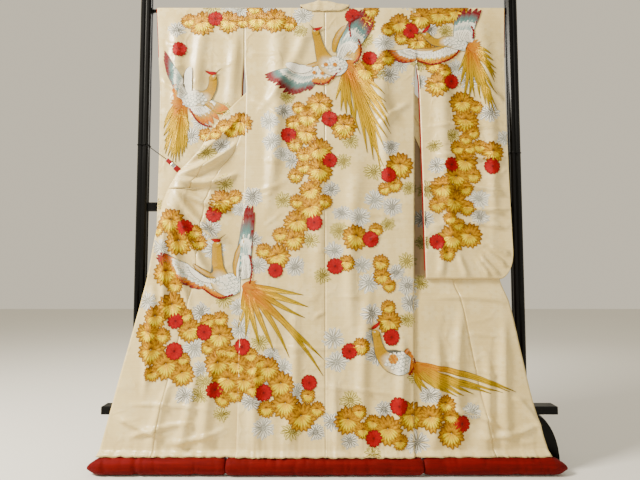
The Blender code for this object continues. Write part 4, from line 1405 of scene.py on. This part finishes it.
# Each garland: points along it, counts of large gold, small gold, silver and olive flowers,
# and how far they stray from it.
GARLANDS = (
    (((-0.520, 1.640), (-0.430, 1.655), (-0.345, 1.662)), 2, 2, 3, 1, 0.022),
    (((-0.275, 1.668), (-0.200, 1.660), (-0.133, 1.640)), 2, 2, 2, 1, 0.018),
    (((0.165, 1.680), (0.230, 1.640), (0.320, 1.585)), 3, 3, 2, 1, 0.034),
    (((0.118, 1.452), (0.170, 1.450), (0.224, 1.480)), 1, 2, 2, 2, 0.014),
    (((0.345, 1.672), (0.400, 1.676), (0.470, 1.668)), 3, 1, 1, 2, 0.012),
    (((0.070, 1.225), (0.055, 1.235)), 1, 0, 0, 1, 0.003),
    (((-0.140, 1.335), (-0.090, 1.255), (-0.115, 1.160), (-0.075, 1.040), (-0.115, 0.950),
      (-0.150, 0.840), (-0.185, 0.735)), 10, 10, 9, 4, 0.036),
    (((0.262, 1.090), (0.225, 1.000), (0.160, 0.880), (0.100, 0.800), (0.010, 0.690)), 2, 4, 7, 5, 0.026),
    (((0.385, 1.480), (0.425, 1.400)), 2, 2, 4, 2, 0.026),
    (((0.545, 1.300), (0.515, 1.230), (0.560, 1.160), (0.500, 1.085), (0.465, 1.010), (0.450, 0.930),
      (0.440, 0.860), (0.455, 0.775)), 9, 13, 6, 4, 0.036),
    (((0.262, 0.750), (0.225, 0.640), (0.250, 0.530)), 1, 4, 5, 3, 0.020),
    (((0.060, 0.420), (0.120, 0.455)), 0, 1, 4, 0, 0.020),
    (((-0.585, 0.850), (-0.520, 0.840), (-0.440, 0.800)), 2, 3, 3, 1, 0.026),
    (((-0.425, 0.915), (-0.360, 0.950), (-0.300, 0.985)), 1, 1, 2, 1, 0.018),
    (((-0.600, 0.660), (-0.590, 0.560), (-0.615, 0.470), (-0.560, 0.360), (-0.500, 0.300)),
     7, 5, 4, 1, 0.040),
    (((-0.500, 0.540), (-0.440, 0.490), (-0.420, 0.410), (-0.340, 0.390), (-0.265, 0.330)),
     5, 8, 4, 2, 0.042),
    (((-0.400, 0.310), (-0.300, 0.315), (-0.190, 0.265), (-0.105, 0.215)), 5, 7, 6, 3, 0.034),
    (((0.020, 0.190), (0.110, 0.160), (0.210, 0.150), (0.330, 0.200), (0.440, 0.150)), 5, 6, 6, 3, 0.030),
    (((-0.470, 1.175), (-0.410, 1.215), (-0.350, 1.240)), 1, 4, 3, 2, 0.022),
)

KINDS = (
    # kind, smallest and largest width across
    ("large gold", 0.088, 0.108),
    ("small gold", 0.054, 0.068),
    ("silver", 0.066, 0.088),
    ("olive", 0.060, 0.080),
)


def place_flowers():
    """Sets each garland's flowers close together, the large ones first, so that they lap a little."""
    rng = random.Random(2026)
    placed = [("red", x + rng.uniform(-0.005, 0.005), height + rng.uniform(-0.005, 0.005),
               rng.uniform(0.056, 0.064)) for x, height in RED_PLACES]
    for points, *counts, stray in GARLANDS:
        for (kind, small, large), number in zip(KINDS, counts):
            golden = "gold" in kind
            close = 0.33 if golden else 0.40
            for k in range(number):
                across = rng.uniform(small, large)
                best, worst = None, 9.0
                for _ in range(40):
                    share = (k + rng.uniform(0, 1)) / number
                    spot = along_points(points, share) + np.array((rng.gauss(0, 1), rng.gauss(0, 0.7))) * (
                        stray if golden else stray + 0.024)
                    free = min((math.dist(spot, other[1:3]) - close * (across + other[3])
                                for other in placed), default=0.0)
                    miss = -4 * free if free < 0 else free
                    if miss < worst:
                        best, worst = spot, miss
                placed.append((kind, *best, across))
    return placed


def draw_flowers(gold, silk, silver):
    rng = random.Random(515)
    for number, (kind, x, height, across) in enumerate(place_flowers()):
        lift = 0.0005 + 0.00012 * (number % 6)
        if kind == "red":
            red_flower(silk, rng, x, height, across, lift + 0.0010)
        elif kind == "silver":
            pale = rng.random() < 0.5
            open_flower(silver, rng, x, height, across, 0.0004, SILVER if pale else SILVER_DARK, WHITE)
        elif kind == "olive":
            open_flower(silver, rng, x, height, across, 0.0004, OLIVE, tint(236, 220, 150))
        else:
            gold_flower(gold, rng, x, height, across, lift + 0.0003)


# Rows of a wing's feathers: share of the length, width, tones along it, outline and end.
FAR_WING = (
    (1.00, 1.00, (WHITE, WHITE, TEAL_PALE, TEAL), TEAL, CRIMSON_TIP),
    (0.62, 1.02, (WHITE, WHITE, TEAL_PALE), TEAL, WHITE),
    (0.36, 1.05, (WHITE, WHITE), SILVER_DARK, WHITE),
)
FIRE_WING = (
    (1.00, 1.00, (WHITE, WHITE, TAN, ORANGE), TEAL, CRIMSON_TIP),
    (0.62, 1.02, (WHITE, WHITE, TEAL_PALE), OCHRE, WHITE),
    (0.36, 1.05, (WHITE, WHITE), SILVER_DARK, WHITE),
)
NEAR_WING = (
    (1.00, 1.05, (WHITE, WHITE, TAN), TEAL, ORANGE),
    (0.66, 1.02, (WHITE, WHITE), SILVER_DARK, WHITE),
    (0.36, 1.05, (WHITE, WHITE), SILVER_DARK, WHITE),
)
OCHRE_WING = (
    (1.00, 1.05, (WHITE, OCHRE, OCHRE), TEAL, ORANGE),
    (0.55, 1.02, (WHITE, TAN), OCHRE, TAN),
)

# Each bird: its spine from rump to head and how wide it is there, the beak's and the crest's
# points, the wings, runs of scales, single lobes and spots, and the tail's root and plume tips.
BIRDS = (
    dict(
        spine=((-0.548, 1.335), (-0.514, 1.346), (-0.477, 1.350), (-0.451, 1.374), (-0.440, 1.405),
         (-0.440, 1.432)),
        wide=(0.034, 0.065, 0.057, 0.034, 0.030, 0.027), beak=(-0.404, 1.462), crest=((-0.424, 1.446),
         (-0.469, 1.454)),
        wings=(
            (((-0.522, 1.370), (-0.555, 1.339)),
             ((-0.624, 1.533), (-0.626, 1.496), (-0.611, 1.452), (-0.591, 1.417)), 11, FAR_WING),
            (((-0.529, 1.346), (-0.544, 1.331)),
             ((-0.586, 1.409), (-0.591, 1.374), (-0.577, 1.331)), 6, NEAR_WING),
            (((-0.495, 1.350), (-0.529, 1.331)),
             ((-0.382, 1.308), (-0.400, 1.288), (-0.437, 1.253), (-0.470, 1.250), (-0.501, 1.273),
              (-0.526, 1.308)), 11, NEAR_WING),
        ),
        scales=(
            (((-0.528, 1.311), (-0.501, 1.265), (-0.468, 1.244), (-0.440, 1.240)), 12, CRIMSON_TIP),
            (((-0.469, 1.325), (-0.446, 1.306), (-0.419, 1.291), (-0.383, 1.300)), 9, OCHRE),
        ),
        lobes=(
            (((-0.526, 1.370), (-0.523, 1.468)), 0.034, WHITE),
            (((-0.480, 1.339), (-0.435, 1.311)), 0.019, OCHRE),
        ),
        spots=(),
        root=(-0.559, 1.331), plumes=17, plump=1.25, green=0.20,
        tail=((-0.622, 1.257), (-0.622, 1.211), (-0.618, 1.165), (-0.611, 1.127), (-0.592, 1.108),
         (-0.574, 1.104), (-0.552, 1.112), (-0.538, 1.146), (-0.526, 1.188), (-0.526, 1.253)),
    ),
    dict(
        spine=((0.064, 1.488), (0.034, 1.472), (-0.004, 1.480), (-0.026, 1.515), (-0.040, 1.563),
         (-0.051, 1.607)),
        wide=(0.030, 0.076, 0.076, 0.046, 0.030, 0.027), beak=(-0.076, 1.635), crest=((-0.061, 1.615),
         (-0.024, 1.627)),
        wings=(
            (((-0.110, 1.464), (-0.042, 1.472)),
             ((-0.244, 1.437), (-0.235, 1.416), (-0.215, 1.403), (-0.192, 1.383), (-0.165, 1.363),
              (-0.137, 1.358), (-0.109, 1.369), (-0.075, 1.378)), 14, FAR_WING),
            (((-0.049, 1.472), (0.042, 1.472)),
             ((-0.060, 1.401), (-0.015, 1.397), (0.023, 1.427), (0.051, 1.460)), 8, NEAR_WING),
            (((0.034, 1.503), (0.080, 1.511)),
             ((0.084, 1.647), (0.107, 1.683), (0.138, 1.695), (0.153, 1.671), (0.172, 1.651), (0.164,
              1.623)), 11, FAR_WING),
            (((0.049, 1.496), (0.080, 1.503)),
             ((0.118, 1.575), (0.125, 1.535), (0.110, 1.503)), 5, OCHRE_WING),
        ),
        scales=(
            (((-0.060, 1.403), (-0.015, 1.399), (0.022, 1.432), (0.051, 1.467)), 13, CRIMSON_TIP),
            (((0.084, 1.583), (0.082, 1.639), (0.115, 1.665)), 9, CRIMSON_TIP),
            (((0.109, 1.575), (0.119, 1.544), (0.114, 1.505), (0.092, 1.484)), 9, CRIMSON_TIP),
        ),
        lobes=(
            (((-0.064, 1.464), (-0.162, 1.476)), 0.034, WHITE),
            (((0.019, 1.527), (0.064, 1.631)), 0.023, OCHRE),
            (((-0.011, 1.503), (-0.087, 1.472)), 0.017, OCHRE),
        ),
        spots=(((-0.012, 1.476), 0.017), ((0.022, 1.476), 0.017), ((-0.025, 1.442), 0.015), ((-0.056,
         1.445), 0.015),),
        root=(0.068, 1.472), plumes=17, plump=1.00, green=0.15,
        tail=((0.024, 1.339), (0.054, 1.284), (0.082, 1.265), (0.104, 1.242), (0.136, 1.146), (0.173,
         1.085), (0.197, 1.074), (0.211, 1.146), (0.231, 1.193), (0.227, 1.234), (0.217, 1.300), (0.205,
          1.357)),
    ),
    dict(
        spine=((0.520, 1.547), (0.482, 1.563), (0.445, 1.567), (0.414, 1.563), (0.391, 1.571), (0.369,
         1.593)),
        wide=(0.034, 0.049, 0.042, 0.030, 0.025, 0.023), beak=(0.334, 1.602), crest=((0.353, 1.602),
         (0.383, 1.635)),
        wings=(
            (((0.315, 1.535), (0.360, 1.527)),
             ((0.212, 1.526), (0.216, 1.513), (0.235, 1.502), (0.257, 1.490), (0.284, 1.486), (0.318,
              1.490)), 9, FIRE_WING),
            (((0.345, 1.531), (0.497, 1.551)),
             ((0.333, 1.490), (0.383, 1.475), (0.434, 1.482), (0.473, 1.505), (0.497, 1.533)), 11,
              NEAR_WING),
            (((0.483, 1.575), (0.536, 1.567)),
             ((0.493, 1.679), (0.513, 1.697), (0.551, 1.701), (0.585, 1.699), (0.569, 1.671), (0.545,
              1.631), (0.548, 1.599)), 11, FAR_WING),
        ),
        scales=(
            (((0.333, 1.491), (0.383, 1.475), (0.434, 1.483), (0.473, 1.507), (0.495, 1.535)), 16,
             CRIMSON_TIP),
            (((0.540, 1.629), (0.549, 1.600), (0.544, 1.580)), 5, CRIMSON_TIP),
        ),
        lobes=(
            (((0.440, 1.549), (0.329, 1.539)), 0.015, OCHRE),
            (((0.391, 1.531), (0.311, 1.535)), 0.013, WHITE),
        ),
        spots=(),
        root=(0.535, 1.551), plumes=17, plump=1.00, green=0.55,
        tail=((0.487, 1.451), (0.499, 1.346), (0.537, 1.346), (0.575, 1.331), (0.600, 1.295), (0.632,
         1.287), (0.627, 1.389), (0.628, 1.431), (0.630, 1.467), (0.614, 1.517)),
    ),
    dict(
        spine=((-0.321, 0.645), (-0.357, 0.648), (-0.393, 0.666), (-0.403, 0.709), (-0.408, 0.760),
         (-0.409, 0.798)),
        wide=(0.038, 0.084, 0.076, 0.042, 0.034, 0.032), beak=(-0.376, 0.832), crest=((-0.393, 0.810),
         (-0.431, 0.814)),
        wings=(
            (((-0.502, 0.709), (-0.421, 0.659)),
             ((-0.615, 0.765), (-0.629, 0.749), (-0.616, 0.728), (-0.609, 0.699), (-0.579, 0.682),
              (-0.550, 0.668), (-0.514, 0.646), (-0.478, 0.636), (-0.453, 0.641)), 15, FIRE_WING),
            (((-0.436, 0.673), (-0.335, 0.659)),
             ((-0.453, 0.632), (-0.420, 0.607), (-0.387, 0.598), (-0.346, 0.611)), 8, NEAR_WING),
            (((-0.328, 0.666), (-0.296, 0.673)),
             ((-0.314, 0.854), (-0.304, 0.928), (-0.290, 0.939), (-0.273, 0.917), (-0.281, 0.810),
              (-0.285, 0.731)), 11, FAR_WING),
        ),
        scales=(
            (((-0.454, 0.633), (-0.420, 0.609), (-0.387, 0.600), (-0.346, 0.613)), 12, CRIMSON_TIP),
            (((-0.292, 0.757), (-0.280, 0.703), (-0.288, 0.653)), 10, CRIMSON_TIP),
        ),
        lobes=(
            (((-0.364, 0.672), (-0.493, 0.723)), 0.019, OCHRE),
            (((-0.421, 0.659), (-0.506, 0.713)), 0.019, WHITE),
            (((-0.336, 0.670), (-0.310, 0.810)), 0.019, OCHRE),
        ),
        spots=(),
        root=(-0.296, 0.641), plumes=10, plump=1.35, green=0.80,
        tail=((-0.327, 0.495), (-0.298, 0.456), (-0.249, 0.440), (-0.196, 0.416), (-0.141, 0.392),
         (-0.018, 0.325), (-0.022, 0.388), (-0.087, 0.532), (-0.075, 0.570), (-0.096, 0.613)),
    ),
    dict(
        spine=((0.282, 0.368), (0.247, 0.375), (0.212, 0.385), (0.183, 0.406), (0.171, 0.441), (0.163,
         0.481)),
        wide=(0.046, 0.084, 0.076, 0.042, 0.029, 0.027), beak=(0.136, 0.496), crest=((0.148, 0.495),
         (0.180, 0.522)),
        wings=(
            (((0.234, 0.399), (0.269, 0.385)),
             ((0.290, 0.410), (0.298, 0.379), (0.282, 0.338), (0.254, 0.344)), 7, NEAR_WING),
        ),
        scales=(
            (((0.295, 0.392), (0.299, 0.372), (0.277, 0.334)), 8, CRIMSON_TIP),
        ),
        lobes=(
            (((0.262, 0.396), (0.280, 0.423)), 0.015, ORANGE),
        ),
        spots=(((0.223, 0.389), 0.034),),
        root=(0.293, 0.365), plumes=11, plump=1.20, green=0.50,
        tail=((0.326, 0.268), (0.361, 0.280), (0.394, 0.280), (0.455, 0.259), (0.495, 0.264), (0.577,
         0.270), (0.619, 0.276), (0.657, 0.274)),
    ),
)


def feather(silk, root, tip, width, bow, tones, rim, end, lift):
    """One long feather: a dark outline, a shaded vane, a coloured end and a quill."""
    line = curve_line(root, tip, bow, 9)
    shape = np.array((0.45, 0.75, 0.92, 1.0, 1.0, 0.98, 0.90, 0.70, 0.16))
    silk.strip(line, shape * (width + 0.0040), (rim, rim, end), (rim, rim, end), lift, 0.0)
    silk.strip(line[:-1], shape[:-1] * width, (*tones, end), (*tones, end), lift + 0.00022, 0.0003)
    silk.strip(line[:-2], np.full(7, 0.0012), (rim, rim), (rim, rim), lift + 0.0006, 0.0001)


def plume(gold, rng, root, tip, width, bow, green, lift):
    """A long tail plume in gold thread that turns olive towards its end."""
    count = 18
    line = curve_line(root, tip, bow, count)
    shape = np.interp(np.linspace(0, 1, count), (0, 0.14, 0.42, 0.80, 1.0), (0.55, 0.9, 1.0, 0.50, 0.06))
    warm = mix(np.array(ORANGE), np.array(PLUME_GOLD), rng.uniform(0.2, 0.8))
    far = mix(np.array(PLUME_GOLD), np.array(OLIVE_GOLD), green * rng.uniform(0.6, 1.2))
    outline = (ORANGE, OLIVE_DARK, OLIVE_DARK)
    gold.strip(line, shape * (width + 0.0030), outline, outline, lift, 0.0)
    gold.strip(line, shape * width, (ORANGE, warm, PLUME_GOLD, far, far), (ORANGE, OCHRE, far, OLIVE_GOLD),
               lift + 0.0002, 0.0006)
    quill = (RUST, OLIVE_DARK, OLIVE_DARK)
    gold.strip(line[1:], np.full(count - 1, 0.0011), quill, quill, lift + 0.0009, 0.0001)


def scale_row(silk, points, number, tone, size, lift):
    """A run of small rounded scales side by side, outlined in one colour."""
    for k in range(number):
        here, ahead = along_points(points, k / number), along_points(points, (k + 1) / number)
        silk.strip(curve_line(here, ahead, 0.22, 6), widths_of((0.3, 0.8, 1, 1, 0.8, 0.3), size),
                   (tone, tone), (tone, tone), lift, 0.0003)


def lobe(silk, ends, width, tone, lift):
    """A covert feather that stands by itself, with a scalloped grey outline."""
    line = curve_line(*ends, 0.10, 9)
    shape = np.array((0.35, 0.70, 0.86, 1.0, 0.90, 1.0, 0.86, 0.74, 0.30))
    silk.strip(line, shape * (width + 0.0044), (SILVER_DARK, INK_SOFT), (SILVER_DARK, INK_SOFT), lift, 0.0)
    silk.strip(line, shape * width, (tone, mix(np.array(tone), np.array(WHITE), 0.4)), (tone, tone),
               lift + 0.0003, 0.0004)


def draw_wing(silk, rng, roots, tips, number, rows, lift):
    """Rows of feathers, the long ones under the short."""
    for row, (share, wide, tones, rim, end) in enumerate(rows):
        for k in range(number):
            place = (k + 0.5 * (row % 2)) / max(1, number - 1 + 0.5 * (row % 2))
            root = along_points(roots, min(place, 1.0))
            tip = mix(root, along_points(tips, min(place, 1.0)), share * rng.uniform(0.97, 1.03))
            span = sum(math.dist(a, b) for a, b in zip(tips, tips[1:])) + math.dist(*roots)
            width = min(wide * mix(0.6, 0.95, share) * span / number, 0.019)
            feather(silk, root, tip, width, rng.uniform(0.01, 0.05), tones, rim, end,
                    lift + 0.0004 * row + 0.00005 * (k % 3))


def draw_body(silk, bird):
    shares = np.linspace(0, 1, 22)
    line = np.array([along_points(bird["spine"], share) for share in shares])
    wide = np.interp(shares, np.linspace(0, 1, len(bird["wide"])), bird["wide"])
    silk.strip(line, wide + 0.0036, (SILVER_DARK, SILVER_DARK), (SILVER_DARK, SILVER_DARK), 0.0030, 0.0)
    silk.strip(line, wide, (WHITE, WHITE, WHITE, OCHRE, OCHRE, OCHRE),
               (TEAL_PALE, WHITE, TAN, OCHRE, OCHRE, OCHRE), 0.0032, 0.0010)
    for row in range(7):
        share = 0.46 - 0.058 * row
        middle = along_points(bird["spine"], share)
        ahead = along_points(bird["spine"], share - 0.03) - middle
        ahead /= np.linalg.norm(ahead)
        aside = np.array((-ahead[1], ahead[0]))
        half = 0.38 * float(np.interp(share, np.linspace(0, 1, len(bird["wide"])), bird["wide"]))
        number = max(2, round(half / 0.007))
        for k in range(number):
            place = middle + aside * half * (2 * (k + 0.5 * (row % 2)) / number - 0.75)
            for long, across, tone, lift, crown in ((0.0130, 0.0118, TEAL, 0.0044, 0.0),
                                                    (0.0115, 0.0100, WHITE, 0.0046, 0.0004)):
                silk.strip(curve_line(place, place + ahead * long, 0.0, 5),
                           widths_of((0.7, 1, 1, 0.8, 0.2), across), (tone, tone), (tone, tone), lift, crown)


def draw_head(silk, bird):
    head, beak, crest = np.array(bird["spine"][-1]), np.array(bird["beak"]), bird["crest"]
    looks = 1 if beak[0] > head[0] else -1
    silk.strip(curve_line(head - (0.012 * looks, 0.006), head + (0.013 * looks, 0.004), 0.0, 6),
               widths_of((0.5, 0.9, 1, 1, 0.8, 0.3), 0.022), (OCHRE, TAN), (OCHRE, OCHRE), 0.0050, 0.0006)
    silk.strip(curve_line(head + (0.006 * looks, 0.004), beak, 0.06 * looks, 7),
               widths_of((1, 0.8, 0.6, 0.45, 0.35, 0.25, 0.1), 0.0085), (TAN, SILVER_DARK), (INK, INK_SOFT),
               0.0052, 0.0003)
    silk.strip(curve_line(head + (0.001 * looks, 0.002), head + (0.007 * looks, 0.003), 0.0, 4),
               widths_of((0.5, 1, 1, 0.5), 0.0060), (WHITE, WHITE), (WHITE, WHITE), 0.0058, 0.0002)
    silk.strip(curve_line(head + (0.003 * looks, 0.002), head + (0.006 * looks, 0.003), 0.0, 4),
               widths_of((0.5, 1, 1, 0.5), 0.0034), (INK, INK), (INK, INK), 0.0062, 0.0002)
    silk.strip(curve_line(*crest, 0.10 * looks, 8), widths_of((0.35, 0.8, 1, 1, 0.9, 0.7, 0.45, 0.1), 0.0125),
               (RED, RED_LIGHT, RED), (MAROON, RED, MAROON), 0.0056, 0.0006)


def draw_bird(gold, silk, rng, bird):
    root = np.array(bird["root"])
    for k in range(bird["plumes"]):
        tip = along_points(bird["tail"], k / (bird["plumes"] - 1))
        tip = mix(root, tip, rng.uniform(0.95, 1.02))
        start = root + np.array((rng.uniform(-0.012, 0.012), rng.uniform(-0.012, 0.012)))
        width = bird["plump"] * rng.uniform(0.0125, 0.0175)
        plume(gold, rng, start, tip, width, rng.uniform(-0.05, 0.05), bird["green"],
              0.0007 + 0.0003 * (k % 4))
    for k, (roots, tips, number, rows) in enumerate(bird["wings"]):
        draw_wing(silk, rng, roots, tips, number, rows, 0.0010 + 0.0005 * k)
    for ends, width, tone in bird["lobes"]:
        lobe(silk, ends, width, tone, 0.0026)
    towards = math.atan2(*(root - np.array(bird["spine"][1]))[::-1])
    for k in range(15):
        angle = towards + rng.uniform(-1.0, 1.0)
        end = root + rng.uniform(0.026, 0.044) * np.array((math.cos(angle), math.sin(angle)))
        silk.strip(curve_line(mix(root, np.array(bird["spine"][0]), 0.7), end, rng.uniform(-0.1, 0.1), 6),
                   widths_of(LEAF, 0.013), (ORANGE, OCHRE), (RUST, ORANGE), 0.0026 + 0.0001 * (k % 4), 0.0004)
    draw_body(silk, bird)
    for spot, across in bird["spots"]:
        for turn in (0.0, 1.05, 2.1):
            reach = across / 2 * np.array((math.cos(turn), math.sin(turn)))
            silk.strip(curve_line(spot - reach, spot + reach, 0.0, 6),
                       widths_of((0.6, 0.9, 1, 1, 0.9, 0.6), across * 0.6),
                       (SPOT, SPOT), (TAN, TAN), 0.0052, 0.0003)
    for points, number, tone in bird["scales"]:
        scale_row(silk, points, number, tone, 0.0065, 0.0040)
    draw_head(silk, bird)


def add_embroidery(panels):
    """All the needlework, in three kinds of thread, laid over the outer face of the panels."""
    points, faces = [], []
    graph = bpy.context.evaluated_depsgraph_get()
    graph.update()
    for panel in panels:
        mesh = panel.evaluated_get(graph).to_mesh()
        start = len(points)
        points += [vert.co.copy() for vert in mesh.vertices]
        faces += [tuple(start + k for k in face.vertices) for face in mesh.polygons]
        panel.evaluated_get(graph).to_mesh_clear()
    cloth = BVHTree.FromPolygons(points, faces)
    gold, silk, silver = Threadwork(), Threadwork(), Threadwork()
    draw_flowers(gold, silk, silver)
    rng = random.Random(88)
    for bird in BIRDS:
        draw_bird(gold, silk, rng, bird)
    gold_thread = thread_finish("gold_thread", 0.30, 0.38, 0.0, 1250.0, 0.0004)
    silk_thread = thread_finish("silk_thread", 0.0, 0.50, 0.0, 1500.0, 0.0003)
    silver_thread = thread_finish("silver_thread", 0.10, 0.46, 0.0, 1400.0, 0.0003)
    gold.lay("gold_needlework", cloth, gold_thread, "ivory_satin")
    silk.lay("silk_needlework", cloth, silk_thread, "ivory_satin")
    silver.lay("silver_needlework", cloth, silver_thread, "ivory_satin")


# The rack, the light and the view.


def finish_rack():
    """Every solid of the rack, the cords and the clip keeps its shape and gets its real finish."""
    black = lacquer("black_lacquer", tint(2, 2, 2), 0.36)
    braid, plastic, metal = braided_cord(), clip_plastic(), clip_metal()
    finishes = {"clip_grip": plastic, "clip_body": metal, "clip_jaw_near": plastic, "clip_jaw_far": plastic}
    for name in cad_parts:
        if name.startswith(("rod", "post_left", "post_right", "mid_rail", "lower_plank", "leg_")):
            finishes[name] = black
        elif name.startswith(("clip_cord", "post_cord", "post_knot")):
            finishes[name] = braid
    for name, finish in finishes.items():
        made = bpy.data.objects[name]
        for place in made.material_slots:
            place.material = finish


def add_light(name, place, target, size, power, colour):
    lamp = bpy.data.lights.new(name, "AREA")
    lamp.shape = "RECTANGLE"
    lamp.size, lamp.size_y = size
    lamp.energy = power
    lamp.color = colour
    made = bpy.data.objects.new(name, lamp)
    made.location = place
    made.rotation_euler = (Vector(target) - Vector(place)).to_track_quat("-Z", "Y").to_euler()
    bpy.context.scene.collection.objects.link(made)


def add_studio():
    floor = add_mesh("studio_floor", [(-9, -9, 0), (9, -9, 0), (9, 9, 0), (-9, 9, 0)], [(0, 1, 2, 3)])
    floor.data.materials.append(pale_floor())
    floor.location = (0.0, 0.0, -0.0006)
    world = bpy.data.worlds.new("studio")
    world.use_nodes = True
    world.node_tree.nodes["Background"].inputs["Color"].default_value = (0.90, 0.81, 0.63, 1.0)
    world.node_tree.nodes["Background"].inputs["Strength"].default_value = 0.84
    bpy.context.scene.world = world
    middle = (0.0, -0.05, 0.9)
    add_light("key", (-2.8, -1.40, 2.8), middle, (0.9, 0.9), 420.0, (1.0, 0.93, 0.80))
    add_light("fill", (2.6, -2.6, 1.5), middle, (2.2, 2.0), 22.0, (1.0, 0.95, 0.86))
    add_light("rear", (0.6, 2.6, 2.6), middle, (2.0, 1.6), 34.0, (1.0, 0.97, 0.92))
    eye = bpy.data.cameras.new("view")
    eye.lens = 29.25
    eye.sensor_width = 36.0
    camera = bpy.data.objects.new("view", eye)
    camera.location = (-0.034, -1.936, 0.679)
    camera.rotation_euler = (math.radians(94.0), 0.0, 0.0)
    bpy.context.scene.collection.objects.link(camera)
    bpy.context.scene.camera = camera


def main():
    silk = ivory_silk()
    lining = crimson_silk("crimson_lining_silk", tint(100, 0, 3), tint(130, 0, 6), 12.0)
    hem = crimson_silk("crimson_hem_silk", tint(82, 4, 5), tint(102, 8, 9), 34.0)
    add_studio()
    panels = []
    for side, word in SIDES:
        panels.append(add_back(side, word, silk, lining))
        panels.append(add_front(side, word, silk, lining))
        panels.append(add_overlap(side, word, silk, lining))
        panels.append(add_collar_side(side, word, silk, lining))
        panels.append(add_sleeve(side, word, silk, lining))
        add_cuff_lining(side, word, lining)
        add_inner_lining(side, word, lining)
    add_collar_neck(silk, lining)
    add_embroidery(panels)
    for stretch in HEM_STRETCHES:
        add_hem_roll(*stretch, hem)
    finish_rack()


main()
